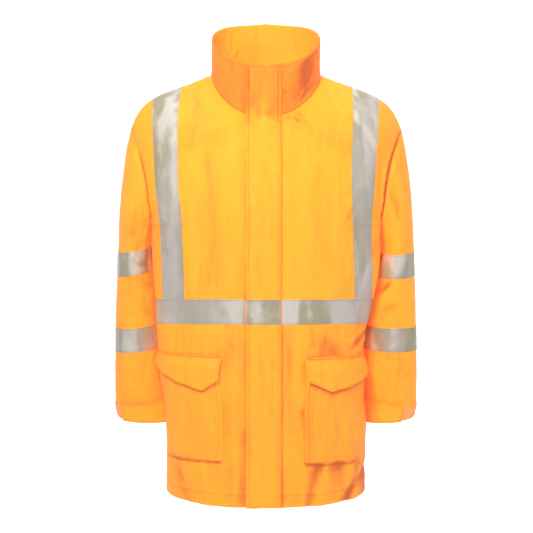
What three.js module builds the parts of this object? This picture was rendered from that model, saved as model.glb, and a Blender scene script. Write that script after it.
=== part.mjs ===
// Hi-vis work jacket, filled out as if it were worn, with nobody inside.
// Millimetres, +Z up, the front faces -Y. Left and right are the wearer's, so the left side is +X.
// The origin is the middle of the neck opening, near the height of the shoulder seams' neck ends.
import * as THREE from 'three';

// Cloth, tape and seams
const CLOTH = 2;
const TAPE_THICKNESS = 1;
const TAPE_WIDTH = 50;
const SEAM_GAP = 0.3;
const SEAM_INSET = 0.17;
const SHARP_SEAM = 0.2;
const TAPE_LIFT = 0.6;
const BRACE_LIFT = 1.1;
const BRACE_COLUMNS = 4;

// Heights and widths of the cut
const HEM_Z = -853;
const ARMPIT_Z = -292;
const NECK_FRONT_Z = -71;
const NECK_BACK_Z = 25;
const ZIP_WIDTH = 12;
const ZIP_RISE = 0.7;
const WAIST_TAPE_TOP = -431;
const WAIST_TAPE_DROOP = 22;

// Number of columns and rows in the panels
const COLUMNS = 13;
const LOWER_ROWS = 12;
const SIDE_SEAM_ANGLE = 98;
const SHOULDER_NECK_ANGLE = 88;
const ROUND_POWER = 8.5;

// Rings of the body below the armpits: half width, sideways lean, front and back depth, squareness.
const SECTIONS = [
  { z: -853, halfWidth: 211, lean: 0, front: -153, back: 158, square: 2.15 },
  { z: -760, halfWidth: 211, lean: 0, front: -152, back: 154, square: 2.2 },
  { z: -690, halfWidth: 211, lean: 0, front: -151, back: 150, square: 2.25 },
  { z: -645, halfWidth: 212, lean: -5, front: -150, back: 147, square: 2.25 },
  { z: -600, halfWidth: 217, lean: -8, front: -150, back: 144, square: 2.3 },
  { z: -548, halfWidth: 216, lean: -11.5, front: -149, back: 140, square: 2.3 },
  { z: -450, halfWidth: 227, lean: -4, front: -148, back: 134, square: 2.3 },
  { z: -380, halfWidth: 236, lean: 0, front: -149, back: 131, square: 2.3 },
  { z: -292, halfWidth: 238, lean: 0, front: -150, back: 130, square: 2.3 },
];

// Depth of the body at its middle, front and back, between the armpits and the neck.
const CENTRE_FRONT = [
  { z: -292, y: -150 },
  { z: -230, y: -147 },
  { z: -150, y: -134 },
  { z: -71, y: -107 },
];
const CENTRE_BACK = [
  { z: -292, y: 130 },
  { z: -200, y: 129 },
  { z: -100, y: 118 },
  { z: -30, y: 101 },
  { z: 25, y: 85 },
];

// Rows of the yoke, from the armpits to the shoulder seam: where each row ends on its arc, how
// square it is, how far it swells, and how much of its fall comes at the outer end.
const FRONT_YOKE = [
  { at: 0, wrap: 98, square: 2.3, bulge: 0, round: 0 },
  { at: 0.14, wrap: 88, square: 2.3, bulge: 0, round: 0 },
  { at: 0.3, wrap: 78, square: 2.3, bulge: 3, round: 0 },
  { at: 0.55, wrap: 70, square: 2.2, bulge: 12, round: 0.12 },
  { at: 0.8, wrap: 58, square: 2.1, bulge: 10, round: 0.34 },
  { at: 1, wrap: 50, square: 2.0, bulge: 0, round: 0.45 },
];
const BACK_YOKE = [
  { at: 0, wrap: 82, square: 2.3, bulge: 0, round: 0 },
  { at: 0.3, wrap: 78, square: 2.3, bulge: 3, round: 0 },
  { at: 0.7, wrap: 68, square: 2.2, bulge: 12, round: 0.15 },
  { at: 0.85, wrap: 58, square: 2.1, bulge: 8, round: 0.34 },
  { at: 1, wrap: 50, square: 2.0, bulge: 0, round: 0.45 },
];
const FRONT_YOKE_ROWS = [0.14, 0.28, 0.42, 0.55, 0.64, 0.73, 0.82, 0.91, 1];
const FRONT_NECK_START = 0.55;
const BACK_YOKE_ROWS = [0.14, 0.28, 0.42, 0.56, 0.7, 0.78, 0.86, 0.93, 1];
const BACK_NECK_START = 0.7;

// Neckline and collar, by the angle round the neck from the front: height of the base and the top.
const NECK_HALF_WIDTH = 111;
const NECK_MIDDLE_Y = -10;
const NECK_FRONT_REACH = 97;
const NECK_BACK_REACH = 95;
const ZIP_ANGLE = THREE.MathUtils.radToDeg(Math.asin(ZIP_WIDTH / 2 / NECK_HALF_WIDTH));
const COLLAR_TOP_SHIFT = -4;
const COLLAR_LEVELS = [0.2, 0.4, 0.6, 0.8, 1];
const COLLAR = [
  { angle: 0, base: -71, top: 29 },
  { angle: 25, base: -63, top: 35 },
  { angle: 50, base: -36, top: 52 },
  { angle: 70, base: -9, top: 72 },
  { angle: 90, base: 13, top: 91 },
  { angle: 130, base: 21, top: 116 },
  { angle: 180, base: 25, top: 127 },
];

// Armhole of the left side, from the shoulder point (0) round the front to the armpit (0.5), and
// the same round the back.
const ARMHOLE_FRONT = [
  { t: 0, x: 280, y: 2, z: -96 },
  { t: 0.0625, x: 272, y: -18, z: -110 },
  { t: 0.125, x: 261, y: -36, z: -135 },
  { t: 0.1875, x: 250, y: -50, z: -166 },
  { t: 0.25, x: 242, y: -58, z: -203 },
  { t: 0.3125, x: 238, y: -58, z: -240 },
  { t: 0.375, x: 234, y: -46, z: -270 },
  { t: 0.4375, x: 237, y: -14, z: -288 },
];
const ARMHOLE_BACK = [
  { t: 0, x: 280, y: 2, z: -96 },
  { t: 0.0625, x: 272, y: 20, z: -108 },
  { t: 0.125, x: 261, y: 38, z: -132 },
  { t: 0.1875, x: 251, y: 53, z: -164 },
  { t: 0.25, x: 242, y: 64, z: -203 },
  { t: 0.3125, x: 234, y: 68, z: -240 },
  { t: 0.375, x: 226, y: 65, z: -268 },
  { t: 0.4375, x: 229, y: 50, z: -286 },
];

// Rings of the left sleeve, from the armhole to the cuff: the outer and inner points of each ring,
// its middle from front to back, and half its depth. Tuck is how far the left sleeve's inner point
// lies further in than the right one's, where the body leans away from it.
const SLEEVE = [
  { w: 0, outerX: 280, outerZ: -96, innerX: 236, innerZ: -292, tuck: 0, middleY: 8, halfDepth: 62 },
  { w: 0.12, outerX: 297, outerZ: -168, innerX: 240, innerZ: -318, tuck: 0, middleY: 14, halfDepth: 74 },
  { w: 0.25, outerX: 306, outerZ: -262, innerX: 241, innerZ: -356, tuck: 0, middleY: 22, halfDepth: 78 },
  { w: 0.4, outerX: 312.5, outerZ: -375, innerX: 238, innerZ: -415, tuck: 8, middleY: 28, halfDepth: 75 },
  { w: 0.55, outerX: 318.5, outerZ: -470, innerX: 234, innerZ: -490, tuck: 18, middleY: 31, halfDepth: 70 },
  { w: 0.7, outerX: 321, outerZ: -560, innerX: 227, innerZ: -568, tuck: 16, middleY: 31, halfDepth: 64 },
  { w: 0.83, outerX: 321.5, outerZ: -635, innerX: 218, innerZ: -640, tuck: 5, middleY: 27, halfDepth: 55 },
  { w: 0.92, outerX: 318, outerZ: -678, innerX: 214, innerZ: -684, tuck: 0, middleY: 23, halfDepth: 47 },
  { w: 1, outerX: 307, outerZ: -705, innerX: 213, innerZ: -712, tuck: 0, middleY: 20, halfDepth: 43 },
];
const SLEEVE_ROWS = 18;
const SLEEVE_BLEND = 0.25;
const SLEEVE_CLEARANCE = 5;

// Largest folds of the fronts and the back: a soft ridge (or trough, where its height is
// negative) along a line between two points seen from the front.
const FRONT_FOLDS = [
  { x1: -60, z1: -520, x2: -52, z2: -840, width: 26, height: 3 },
  { x1: 52, z1: -560, x2: 60, z2: -840, width: 24, height: -2.5 },
  { x1: -120, z1: -330, x2: -95, z2: -420, width: 30, height: -2 },
  { x1: 110, z1: -330, x2: 120, z2: -425, width: 28, height: 2 },
  { x1: 185, z1: -75, x2: 215, z2: -140, width: 12, height: 2.5 },
  { x1: 120, z1: -95, x2: 95, z2: -190, width: 26, height: 2 },
];
const BACK_FOLDS = [
  { x1: -90, z1: -500, x2: -100, z2: -840, width: 32, height: 4 },
  { x1: 85, z1: -520, x2: 92, z2: -840, width: 30, height: 4 },
  { x1: 0, z1: -560, x2: 4, z2: -840, width: 30, height: -3 },
  { x1: -150, z1: -190, x2: -190, z2: -300, width: 20, height: 3 },
  { x1: 150, z1: -190, x2: 190, z2: -300, width: 20, height: 3 },
];
// Largest folds of the sleeves, by their place round (t) and along (w) the sleeve.
const SLEEVE_FOLDS = [
  { t: 0.36, w: 0.44, across: 0.07, along: 0.035, height: -4 },
  { t: 0.3, w: 0.5, across: 0.1, along: 0.03, height: 3 },
  { t: 0.72, w: 0.46, across: 0.12, along: 0.03, height: 3 },
  { t: 0.66, w: 0.53, across: 0.1, along: 0.03, height: -3 },
  { t: 0.14, w: 0.2, across: 0.05, along: 0.14, height: -2.5 },
];

// Overlays
const BRACES = {
  front: [
    { z: -440, inner: 168, outer: 212 },
    { z: -290, inner: 169, outer: 213 },
    { z: -137, inner: 177, outer: 222 },
    { z: -60, inner: 173, outer: 228 },
    { z: 10, inner: 163, outer: 231 },
  ],
  back: [
    { z: -460, inner: 150, outer: 198 },
    { z: -290, inner: 152, outer: 200 },
    { z: -137, inner: 156, outer: 210 },
    { z: -60, inner: 160, outer: 224 },
    { z: 10, inner: 163, outer: 231 },
  ],
};
const SLEEVE_TAPES = { upper: { z: -372, tilt: 8 }, lower: { z: -531, tilt: 10 } };
const STORM_FLAP = {
  freeEdge: -39, sewnEdge: 31, lift: 1.4, freeLift: 2.4, thickness: 2.5, topDrop: 5, beside: 1.6,
};
// The bag of a pocket has a narrow gusset round it and thins out towards the side.
const POCKET = {
  inner: 87, sideAngle: 77, top: -560, bottom: -758, droop: 6, lift: 0.5,
  depth: 9, thinOver: 0.3, thinnest: 0.3, gussetColumns: 0.028, gussetRows: 0.0125,
};
const POCKET_FLAP = {
  inner: 84, sideAngle: 81, top: -544, crest: -557, innerLow: -596, pointX: 131, pointLow: -616,
  outerLow: -600, lift: 0.6,
};
const CUFF_STRAP = {
  height: 40, rise: 1, lift: 2.25, inner: 0.46, outerLeft: 0.1, outerRight: 0.05, thickness: 2,
};
const CUFF_LOOP = { height: 25, rise: 5, lift: 0.5, thickness: 1, from: -0.1, to: 0.27 };

// Limits on the grid of a sheet: the last column looked at for a width, where the waist tape starts
// and ends, the braces' ends, and how near an edge a grid line may lie.
const LAST_COLUMN = 0.95;
const WAIST_TAPE_START = 0.003;
const WAIST_TAPE_END = 0.996;
const BRACE_GAP = 0.002;
const BRACE_END = 1.997;
const LINE_SPACE = 0.01;
const POCKET_SPACE = 0.02;
const SEARCH_STEPS = 40;
const SLEEVE_UNWIND = 0.7;

// Finishes
const orange = new THREE.MeshStandardMaterial({ color: 0xffa52a, roughness: 0.75, metalness: 0 });
const orangeLoop = new THREE.MeshStandardMaterial({ color: 0xffb060, roughness: 0.95, metalness: 0 });
const silver = new THREE.MeshStandardMaterial({ color: 0xb8b2a6, roughness: 0.45, metalness: 0.1 });

const radians = THREE.MathUtils.degToRad;
const lerp = THREE.MathUtils.lerp;
const clamp = THREE.MathUtils.clamp;
const jacket = new THREE.Group();

// A table's values at a place between its rows, on smooth curves through the rows.
function between(table, key, at) {
  const last = table.length - 1;
  let i = 0;
  while (i < last - 1 && at > table[i + 1][key]) {
    i += 1;
  }
  const low = table[i];
  const high = table[i + 1];
  const span = high[key] - low[key];
  const f = clamp((at - low[key]) / span, 0, 1);
  const slope = (k, name) => {
    const before = table[Math.max(k - 1, 0)];
    const after = table[Math.min(k + 1, last)];
    return (after[name] - before[name]) / (after[key] - before[key]);
  };
  const row = {};
  for (const name of Object.keys(low)) {
    const ends = (2 * f ** 3 - 3 * f ** 2 + 1) * low[name] + (3 * f ** 2 - 2 * f ** 3) * high[name];
    const start = (f ** 3 - 2 * f ** 2 + f) * span * slope(i, name);
    const finish = (f ** 3 - f ** 2) * span * slope(i + 1, name);
    row[name] = ends + start + finish;
  }
  return row;
}

// A point of the unit superellipse: how far across it is, and how deep.
function arc(degrees, square) {
  const across = Math.abs(Math.sin(radians(degrees))) ** (2 / square);
  const cosine = Math.cos(radians(degrees));
  const deep = Math.sign(cosine) * Math.abs(cosine) ** (2 / square);
  return { across, deep };
}

// The neckline at an angle round the neck from the front; the side is 1 for the left.
function neckPoint(angle, side) {
  const reach = angle < 90 ? NECK_FRONT_REACH : NECK_BACK_REACH;
  const x = side * NECK_HALF_WIDTH * Math.sin(radians(angle));
  const y = NECK_MIDDLE_Y - reach * Math.cos(radians(angle));
  return new THREE.Vector3(x, y, between(COLLAR, 'angle', angle).base);
}

// A point of the side seam.
function sideSeamPoint(z, side) {
  const section = between(SECTIONS, 'z', z);
  const end = arc(SIDE_SEAM_ANGLE, section.square);
  const x = side * section.halfWidth * end.across + section.lean;
  return new THREE.Vector3(x, section.front * end.deep, z);
}

// A point of the armhole, at a place round it.
function armholePoint(t, side) {
  const armpit = sideSeamPoint(ARMPIT_Z, 1);
  const table = t <= 0.5 ? ARMHOLE_FRONT : ARMHOLE_BACK;
  const rows = [...table, { t: 0.5, x: armpit.x, y: armpit.y, z: armpit.z }];
  const p = between(rows, 't', t <= 0.5 ? t : 1 - t);
  return new THREE.Vector3(side * p.x, p.y, p.z);
}

// The two ends and the shape of one row of a front (face -1) or of the back (face 1). Rows 0 to 1
// run from the hem to the armpit, rows 1 to 2 from the armpit to the shoulder seam.
function rowShape(face, side, v) {
  const middleX = face < 0 ? (side * ZIP_WIDTH) / 2 : 0;
  if (v <= 1) {
    const z = lerp(HEM_Z, ARMPIT_Z, v);
    const section = between(SECTIONS, 'z', z);
    const wrap = face < 0 ? SIDE_SEAM_ANGLE : 180 - SIDE_SEAM_ANGLE;
    const start = new THREE.Vector3(middleX, face < 0 ? section.front : section.back, z);
    return { start, end: sideSeamPoint(z, side), wrap, square: section.square, bulge: 0, round: 0 };
  }
  const u = v - 1;
  const neckStart = face < 0 ? FRONT_NECK_START : BACK_NECK_START;
  let start;
  if (u <= neckStart) {
    const z = lerp(ARMPIT_Z, face < 0 ? NECK_FRONT_Z : NECK_BACK_Z, u / neckStart);
    start = new THREE.Vector3(middleX, between(face < 0 ? CENTRE_FRONT : CENTRE_BACK, 'z', z).y, z);
  } else {
    start = neckPoint(neckAngle(face, u), side);
  }
  const end = armholePoint(face < 0 ? 0.5 * (1 - u) : 0.5 + 0.5 * u, side);
  const shape = between(face < 0 ? FRONT_YOKE : BACK_YOKE, 'at', u);
  return { start, end, wrap: shape.wrap, square: shape.square, bulge: shape.bulge, round: shape.round };
}

function neckAngle(face, u) {
  if (face < 0) {
    return lerp(ZIP_ANGLE, SHOULDER_NECK_ANGLE, (u - FRONT_NECK_START) / (1 - FRONT_NECK_START));
  }
  return lerp(180, SHOULDER_NECK_ANGLE, (u - BACK_NECK_START) / (1 - BACK_NECK_START));
}

// How far the folds of a table move a point out.
function foldHeight(folds, x, z) {
  let height = 0;
  for (const fold of folds) {
    const alongX = fold.x2 - fold.x1;
    const alongZ = fold.z2 - fold.z1;
    const f = ((x - fold.x1) * alongX + (z - fold.z1) * alongZ) / (alongX ** 2 + alongZ ** 2);
    const place = clamp(f, 0, 1);
    const away = Math.hypot(x - fold.x1 - place * alongX, z - fold.z1 - place * alongZ);
    height += fold.height * Math.exp(-((away / fold.width) ** 2));
  }
  return height;
}

// A point of a body panel; s runs from the middle (0) to the side (1).
function bodyPoint(face, side, s, v) {
  const row = rowShape(face, side, v);
  const here = arc(row.wrap * s, row.square);
  const end = arc(row.wrap, row.square);
  const across = here.across / end.across;
  const deep = (here.deep - end.deep) / (1 - end.deep);
  const fall = lerp(across, across ** ROUND_POWER, row.round);
  const x = lerp(row.start.x, row.end.x, across);
  const z = lerp(row.start.z, row.end.z, fall);
  const seamFade = Math.min(1, 6 * (1 - s)) * Math.min(1, 5 * (2 - v)) * (face < 0 ? Math.min(1, 6 * s) : 1);
  const fold = foldHeight(face < 0 ? FRONT_FOLDS : BACK_FOLDS, x, z) * seamFade * Math.max(0, deep);
  const out = row.bulge * Math.sin(Math.PI * s) + fold;
  return new THREE.Vector3(x, lerp(row.end.y, row.start.y, deep) + face * out, z);
}

// How far the body reaches sideways at a place from front to back.
function bodyReach(y, z, side) {
  const section = between(SECTIONS, 'z', clamp(z, HEM_Z, ARMPIT_Z));
  const depth = Math.abs(y < 0 ? section.front : section.back);
  const inside = Math.max(0, 1 - (Math.abs(y) / depth) ** section.square);
  return section.halfWidth * inside ** (1 / section.square) + side * section.lean;
}

// A point of a sleeve; t runs round it from its outer line by the front, w from armhole to cuff.
function sleevePoint(side, t, w) {
  const ring = between(SLEEVE, 'w', w);
  const out = Math.cos(2 * Math.PI * t);
  const forward = Math.sin(2 * Math.PI * t);
  const innerX = side > 0 ? ring.innerX - ring.tuck : ring.innerX;
  const x = lerp(innerX, ring.outerX, (1 + out) / 2);
  const y = ring.middleY - ring.halfDepth * forward;
  const z = lerp(ring.innerZ, ring.outerZ, (1 + out) / 2);
  const own = new THREE.Vector3(side * x, y, z);
  const blend = THREE.MathUtils.smoothstep(w, 0, SLEEVE_BLEND);
  const point = armholePoint(t, side).lerp(own, blend);
  let height = 0;
  for (const fold of SLEEVE_FOLDS) {
    const along = ((w - fold.w) / fold.along) ** 2;
    height += fold.height * Math.exp(-(((t - fold.t) / fold.across) ** 2) - along);
  }
  point.x += side * height * out;
  point.y -= height * forward;
  if (w > 0) {
    const reach = bodyReach(point.y, point.z, side) + SLEEVE_CLEARANCE * Math.min(1, w / 0.1);
    if (point.z < ARMPIT_Z && side * point.x < reach) {
      point.x = side * reach;
    }
  }
  return point;
}

// A grid of points on the outside of a cloth piece, with the way its wall goes at each point.
class Sheet {
  constructor(columns, rows, closed, pointAt, outward) {
    this.columns = columns;
    this.rows = rows;
    this.closed = closed;
    this.points = columns.map((s) => rows.map((v) => pointAt(s, v)));
    this.normals = columns.map((s, i) => rows.map((v, j) => this.normalOf(i, j, outward)));
    this.walls = this.normals.map((column) => column.map((n) => n.clone()));
    this.insets = this.points.map((column) => column.map(() => new THREE.Vector3()));
  }

  neighbour(i, j, di, dj) {
    const count = this.columns.length;
    const k = this.closed ? (i + di + count) % count : clamp(i + di, 0, count - 1);
    return this.points[k][clamp(j + dj, 0, this.rows.length - 1)];
  }

  normalOf(i, j, outward) {
    const across = this.neighbour(i, j, 1, 0).clone().sub(this.neighbour(i, j, -1, 0));
    const along = this.neighbour(i, j, 0, 1).clone().sub(this.neighbour(i, j, 0, -1));
    return across.cross(along).multiplyScalar(outward).normalize();
  }

  // Turns a middle column straight to the front or back, so that both halves meet evenly.
  squareUp(i, rows) {
    for (let j = 0; j < rows; j += 1) {
      this.normals[i][j].setX(0).normalize();
      this.walls[i][j].copy(this.normals[i][j]);
    }
  }

  // Draws one border point in, towards its neighbour, by half the seam gap.
  inset(i, j, di, dj) {
    const way = this.neighbour(i, j, di, dj).clone().sub(this.points[i][j]).normalize();
    this.insets[i][j].addScaledVector(way, SEAM_INSET);
  }

  // The point and normal of the flat facets at a place inside the grid.
  at(s, v) {
    const i = this.cell(this.columns, s);
    const j = this.cell(this.rows, v);
    const fs = clamp((s - this.columns[i]) / (this.columns[i + 1] - this.columns[i]), 0, 1);
    const fv = clamp((v - this.rows[j]) / (this.rows[j + 1] - this.rows[j]), 0, 1);
    const mix = (grid) => {
      const corner = grid[i][j];
      const far = grid[i + 1][j + 1];
      const turn = fs > fv ? grid[i + 1][j] : grid[i][j + 1];
      const first = Math.max(fs, fv);
      const second = Math.min(fs, fv);
      const p = corner.clone().addScaledVector(turn.clone().sub(corner), first);
      return p.addScaledVector(far.clone().sub(turn), second);
    };
    return { point: mix(this.points), normal: mix(this.normals).normalize() };
  }

  // The same on one column of the grid, and on the grid of a closed ring.
  columnAt(i, v) {
    const j = this.cell(this.rows, v);
    const f = clamp((v - this.rows[j]) / (this.rows[j + 1] - this.rows[j]), 0, 1);
    return {
      point: this.points[i][j].clone().lerp(this.points[i][j + 1], f),
      normal: this.normals[i][j].clone().lerp(this.normals[i][j + 1], f).normalize(),
    };
  }

  wrappedAt(t, v) {
    const count = this.columns.length;
    const turn = (t + 1) % 1;
    const i = turn >= this.columns[count - 1] ? count - 1 : this.cell(this.columns, turn);
    const next = (i + 1) % count;
    const end = next === 0 ? 1 : this.columns[next];
    const f = (turn - this.columns[i]) / (end - this.columns[i]);
    const low = this.columnAt(i, v);
    const high = this.columnAt(next, v);
    return { point: low.point.lerp(high.point, f), normal: low.normal.lerp(high.normal, f).normalize() };
  }

  cell(values, value) {
    let k = 0;
    while (k < values.length - 2 && value > values[k + 1]) {
      k += 1;
    }
    return k;
  }

  // The closed wall of the piece, between this grid and one that lies its thickness inside.
  wall(thickness, lift) {
    const outer = [];
    const inner = [];
    this.points.forEach((column, i) => {
      outer.push(column.map((p, j) => {
        const raised = p.clone().add(this.insets[i][j]);
        return raised.addScaledVector(this.walls[i][j], lift + thickness);
      }));
      inner.push(column.map((p, j) => {
        const raised = p.clone().add(this.insets[i][j]);
        return raised.addScaledVector(this.walls[i][j], lift);
      }));
    });
    return shell(outer, inner, this.closed);
  }
}

// Closes two grids of points into one body; the outer grid faces out.
function shell(outer, inner, closed) {
  const columns = outer.length;
  const rows = outer[0].length;
  const positions = [];
  for (const grid of [outer, inner]) {
    grid.forEach((column) => column.forEach((p) => positions.push(p.x, p.y, p.z)));
  }
  const index = [];
  const out = (i, j) => (i % columns) * rows + j;
  const into = (i, j) => columns * rows + out(i, j);
  const quad = (a, b, c, d) => index.push(a, b, c, a, c, d);
  const spans = closed ? columns : columns - 1;
  for (let i = 0; i < spans; i += 1) {
    for (let j = 0; j < rows - 1; j += 1) {
      quad(out(i, j), out(i + 1, j), out(i + 1, j + 1), out(i, j + 1));
      index.push(into(i, j), into(i + 1, j + 1), into(i + 1, j));
      index.push(into(i, j), into(i, j + 1), into(i + 1, j + 1));
    }
    quad(into(i, 0), into(i + 1, 0), out(i + 1, 0), out(i, 0));
    quad(out(i, rows - 1), out(i + 1, rows - 1), into(i + 1, rows - 1), into(i, rows - 1));
  }
  if (!closed) {
    for (let j = 0; j < rows - 1; j += 1) {
      quad(out(0, j), out(0, j + 1), into(0, j + 1), into(0, j));
      quad(into(columns - 1, j), into(columns - 1, j + 1), out(columns - 1, j + 1), out(columns - 1, j));
    }
  }
  const geometry = new THREE.BufferGeometry();
  geometry.setAttribute('position', new THREE.Float32BufferAttribute(positions, 3));
  geometry.setIndex(index);
  if (volumeOf(geometry) < 0) {
    for (let k = 0; k < index.length; k += 3) {
      [index[k], index[k + 1]] = [index[k + 1], index[k]];
    }
    geometry.setIndex(index);
  }
  geometry.computeVertexNormals();
  return geometry;
}

function volumeOf(geometry) {
  const position = geometry.getAttribute('position');
  const index = geometry.getIndex();
  const corners = [new THREE.Vector3(), new THREE.Vector3(), new THREE.Vector3()];
  let volume = 0;
  for (let k = 0; k < index.count; k += 3) {
    corners.forEach((corner, n) => corner.fromBufferAttribute(position, index.getX(k + n)));
    volume += corners[0].dot(corners[1].clone().cross(corners[2])) / 6;
  }
  return volume;
}

function add(name, geometry, material) {
  const mesh = new THREE.Mesh(geometry, material);
  mesh.name = name;
  jacket.add(mesh);
}

// Two sheets that meet at a seam share the wall's direction there, mitred between their normals.
// In a sharp valley each keeps its own, and the second stands off the first by the seam gap.
function mitre(first, second) {
  const a = first.sheet.normals[first.i][first.j];
  const b = second.sheet.normals[second.i][second.j];
  if (a.dot(b) < SHARP_SEAM) {
    second.sheet.insets[second.i][second.j].addScaledVector(a, SEAM_GAP);
    return;
  }
  const shared = a.clone().add(b).divideScalar(1 + a.dot(b));
  first.sheet.walls[first.i][first.j].copy(shared);
  second.sheet.walls[second.i][second.j].copy(shared);
}

const evenly = (count) => Array.from({ length: count + 1 }, (unused, k) => k / count);
const bodyColumns = evenly(COLUMNS);
const lowerRows = evenly(LOWER_ROWS);
const frontRows = [...lowerRows, ...FRONT_YOKE_ROWS.map((u) => 1 + u)];
const backRows = [...lowerRows, ...BACK_YOKE_ROWS.map((u) => 1 + u)];
const sides = [{ name: 'left', side: 1 }, { name: 'right', side: -1 }];

// Body panels
const fronts = {};
for (const { name, side } of sides) {
  fronts[name] = new Sheet(bodyColumns, frontRows, false, (s, v) => bodyPoint(-1, side, s, v), side);
}
const backs = {};
for (const { name, side } of sides) {
  backs[name] = new Sheet(bodyColumns, backRows, false, (s, v) => bodyPoint(1, side, s, v), -side);
}

// Sleeves, with a column at each row end of the panels round the armhole
const frontHoleColumns = FRONT_YOKE_ROWS.map((u) => 0.5 * (1 - u)).reverse();
const backHoleColumns = BACK_YOKE_ROWS.map((u) => 0.5 + 0.5 * u).slice(0, -1);
const sleeveColumns = [...frontHoleColumns, 0.5, ...backHoleColumns];
const sleeveRows = evenly(SLEEVE_ROWS);
const sleeves = {};
for (const { name, side } of sides) {
  sleeves[name] = new Sheet(sleeveColumns, sleeveRows, true, (t, w) => sleevePoint(side, t, w), side);
}

// Collar, with a column at each row end of the panels round the neck
const frontNeck = FRONT_YOKE_ROWS.filter((u) => u >= FRONT_NECK_START).map((u) => neckAngle(-1, u));
const backNeck = BACK_YOKE_ROWS.filter((u) => u >= BACK_NECK_START).map((u) => neckAngle(1, u));
const leftNeck = [...frontNeck, ...backNeck.slice(0, -1).reverse()];
const collarColumns = [...leftNeck, ...leftNeck.slice(0, -1).map((angle) => 360 - angle).reverse()];
const collarRows = [0, ...COLLAR_LEVELS];
const collar = new Sheet(collarColumns, collarRows, false, (angle, h) => {
  const side = angle <= 180 ? 1 : -1;
  const own = side > 0 ? angle : 360 - angle;
  const base = neckPoint(own, side);
  const top = between(COLLAR, 'angle', own).top;
  return new THREE.Vector3(base.x, base.y + COLLAR_TOP_SHIFT * h, lerp(base.z, top, h));
}, 1);

// Shared seams
const neckBaseRow = frontRows.length - frontNeck.length;
for (const { name } of sides) {
  fronts[name].squareUp(0, neckBaseRow + 1);
  backs[name].squareUp(0, backRows.length - backNeck.length + 1);
}
collar.squareUp(0, collarRows.length);
collar.squareUp(collarColumns.length - 1, collarRows.length);
const lastColumn = bodyColumns.length - 1;
const lastRow = frontRows.length - 1;
for (const { name, side } of sides) {
  const front = fronts[name];
  const back = backs[name];
  const sleeve = sleeves[name];
  const collarColumn = (k) => (side > 0 ? k : collarColumns.length - 1 - k);
  for (let j = 0; j < lowerRows.length; j += 1) {
    mitre({ sheet: front, i: lastColumn, j }, { sheet: back, i: lastColumn, j });
    front.inset(lastColumn, j, -1, 0);
    back.inset(lastColumn, j, -1, 0);
  }
  for (let i = 0; i < bodyColumns.length; i += 1) {
    mitre({ sheet: front, i, j: lastRow }, { sheet: back, i, j: lastRow });
    front.inset(i, lastRow, 0, -1);
    back.inset(i, lastRow, 0, -1);
  }
  const armpitRow = LOWER_ROWS;
  const armpitColumn = frontHoleColumns.length;
  for (let k = 0; k <= FRONT_YOKE_ROWS.length; k += 1) {
    const frontEnd = { sheet: front, i: lastColumn, j: armpitRow + k };
    const backEnd = { sheet: back, i: lastColumn, j: armpitRow + k };
    const inFront = { sheet: sleeve, i: armpitColumn - k, j: 0 };
    const behind = { sheet: sleeve, i: (armpitColumn + k) % sleeveColumns.length, j: 0 };
    if (k === 0) {
      sleeve.insets[inFront.i][0].addScaledVector(front.normals[lastColumn][armpitRow], SEAM_GAP);
    } else if (k === FRONT_YOKE_ROWS.length) {
      sleeve.walls[inFront.i][0].copy(front.walls[lastColumn][lastRow]);
    } else {
      mitre(frontEnd, inFront);
      mitre(backEnd, behind);
      front.inset(lastColumn, armpitRow + k, -1, 0);
      back.inset(lastColumn, armpitRow + k, -1, 0);
    }
  }
  for (let i = 0; i < sleeveColumns.length; i += 1) {
    sleeve.inset(i, 0, 0, 1);
    sleeve.inset(i, 0, 0, 1);
  }
  for (let k = 0; k < frontNeck.length; k += 1) {
    if (k < frontNeck.length - 1) {
      mitre({ sheet: front, i: 0, j: neckBaseRow + k }, { sheet: collar, i: collarColumn(k), j: 0 });
    } else {
      collar.walls[collarColumn(k)][0].copy(front.walls[0][lastRow]);
    }
    front.inset(0, neckBaseRow + k, 1, 0);
  }
  for (let k = 0; k < backNeck.length; k += 1) {
    const j = backRows.length - backNeck.length + k;
    const i = collarColumn(leftNeck.length - 1 - k);
    if (k < backNeck.length - 1) {
      mitre({ sheet: back, i: 0, j }, { sheet: collar, i, j: 0 });
    }
  }
  for (let j = 0; j < backRows.length; j += 1) {
    back.inset(0, j, 1, 0);
  }
}
for (let i = 0; i < collarColumns.length; i += 1) {
  collar.inset(i, 0, 0, 1);
  collar.inset(i, 0, 0, 1);
}

for (const { name } of sides) {
  add(`front_${name}`, fronts[name].wall(CLOTH, -CLOTH), orange);
}
for (const { name } of sides) {
  add(`back_${name}`, backs[name].wall(CLOTH, -CLOTH), orange);
}
for (const { name } of sides) {
  add(`sleeve_${name}`, sleeves[name].wall(CLOTH, -CLOTH), orange);
}
add('collar', collar.wall(CLOTH, -CLOTH), orange);

// A piece that lies on a sheet: a grid of places on its facets, moved out and given a thickness.
function overlay(places, lift, thickness) {
  const outer = places.map((column, i) => column.map((place, j) => {
    const height = (typeof lift === 'function' ? lift(i, j) : lift) + thickness;
    return place.point.clone().addScaledVector(place.normal, height);
  }));
  const inner = places.map((column, i) => column.map((place, j) => {
    const height = typeof lift === 'function' ? lift(i, j) : lift;
    return place.point.clone().addScaledVector(place.normal, height);
  }));
  return { outer, inner };
}

function addOverlay(name, places, lift, thickness, material) {
  const { outer, inner } = overlay(places, lift, thickness);
  add(name, shell(outer, inner, false), material);
}

// The place where a test on a sheet's points changes sign, searched between two values.
function solve(low, high, test) {
  let a = low;
  let b = high;
  for (let k = 0; k < SEARCH_STEPS; k += 1) {
    const middle = (a + b) / 2;
    if (test(middle) < 0) {
      a = middle;
    } else {
      b = middle;
    }
  }
  return (a + b) / 2;
}

// The values of a list that lie inside a range, with the range's two ends.
function within(values, low, high, margin) {
  return [low, ...values.filter((value) => value > low + margin && value < high - margin), high];
}

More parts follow.
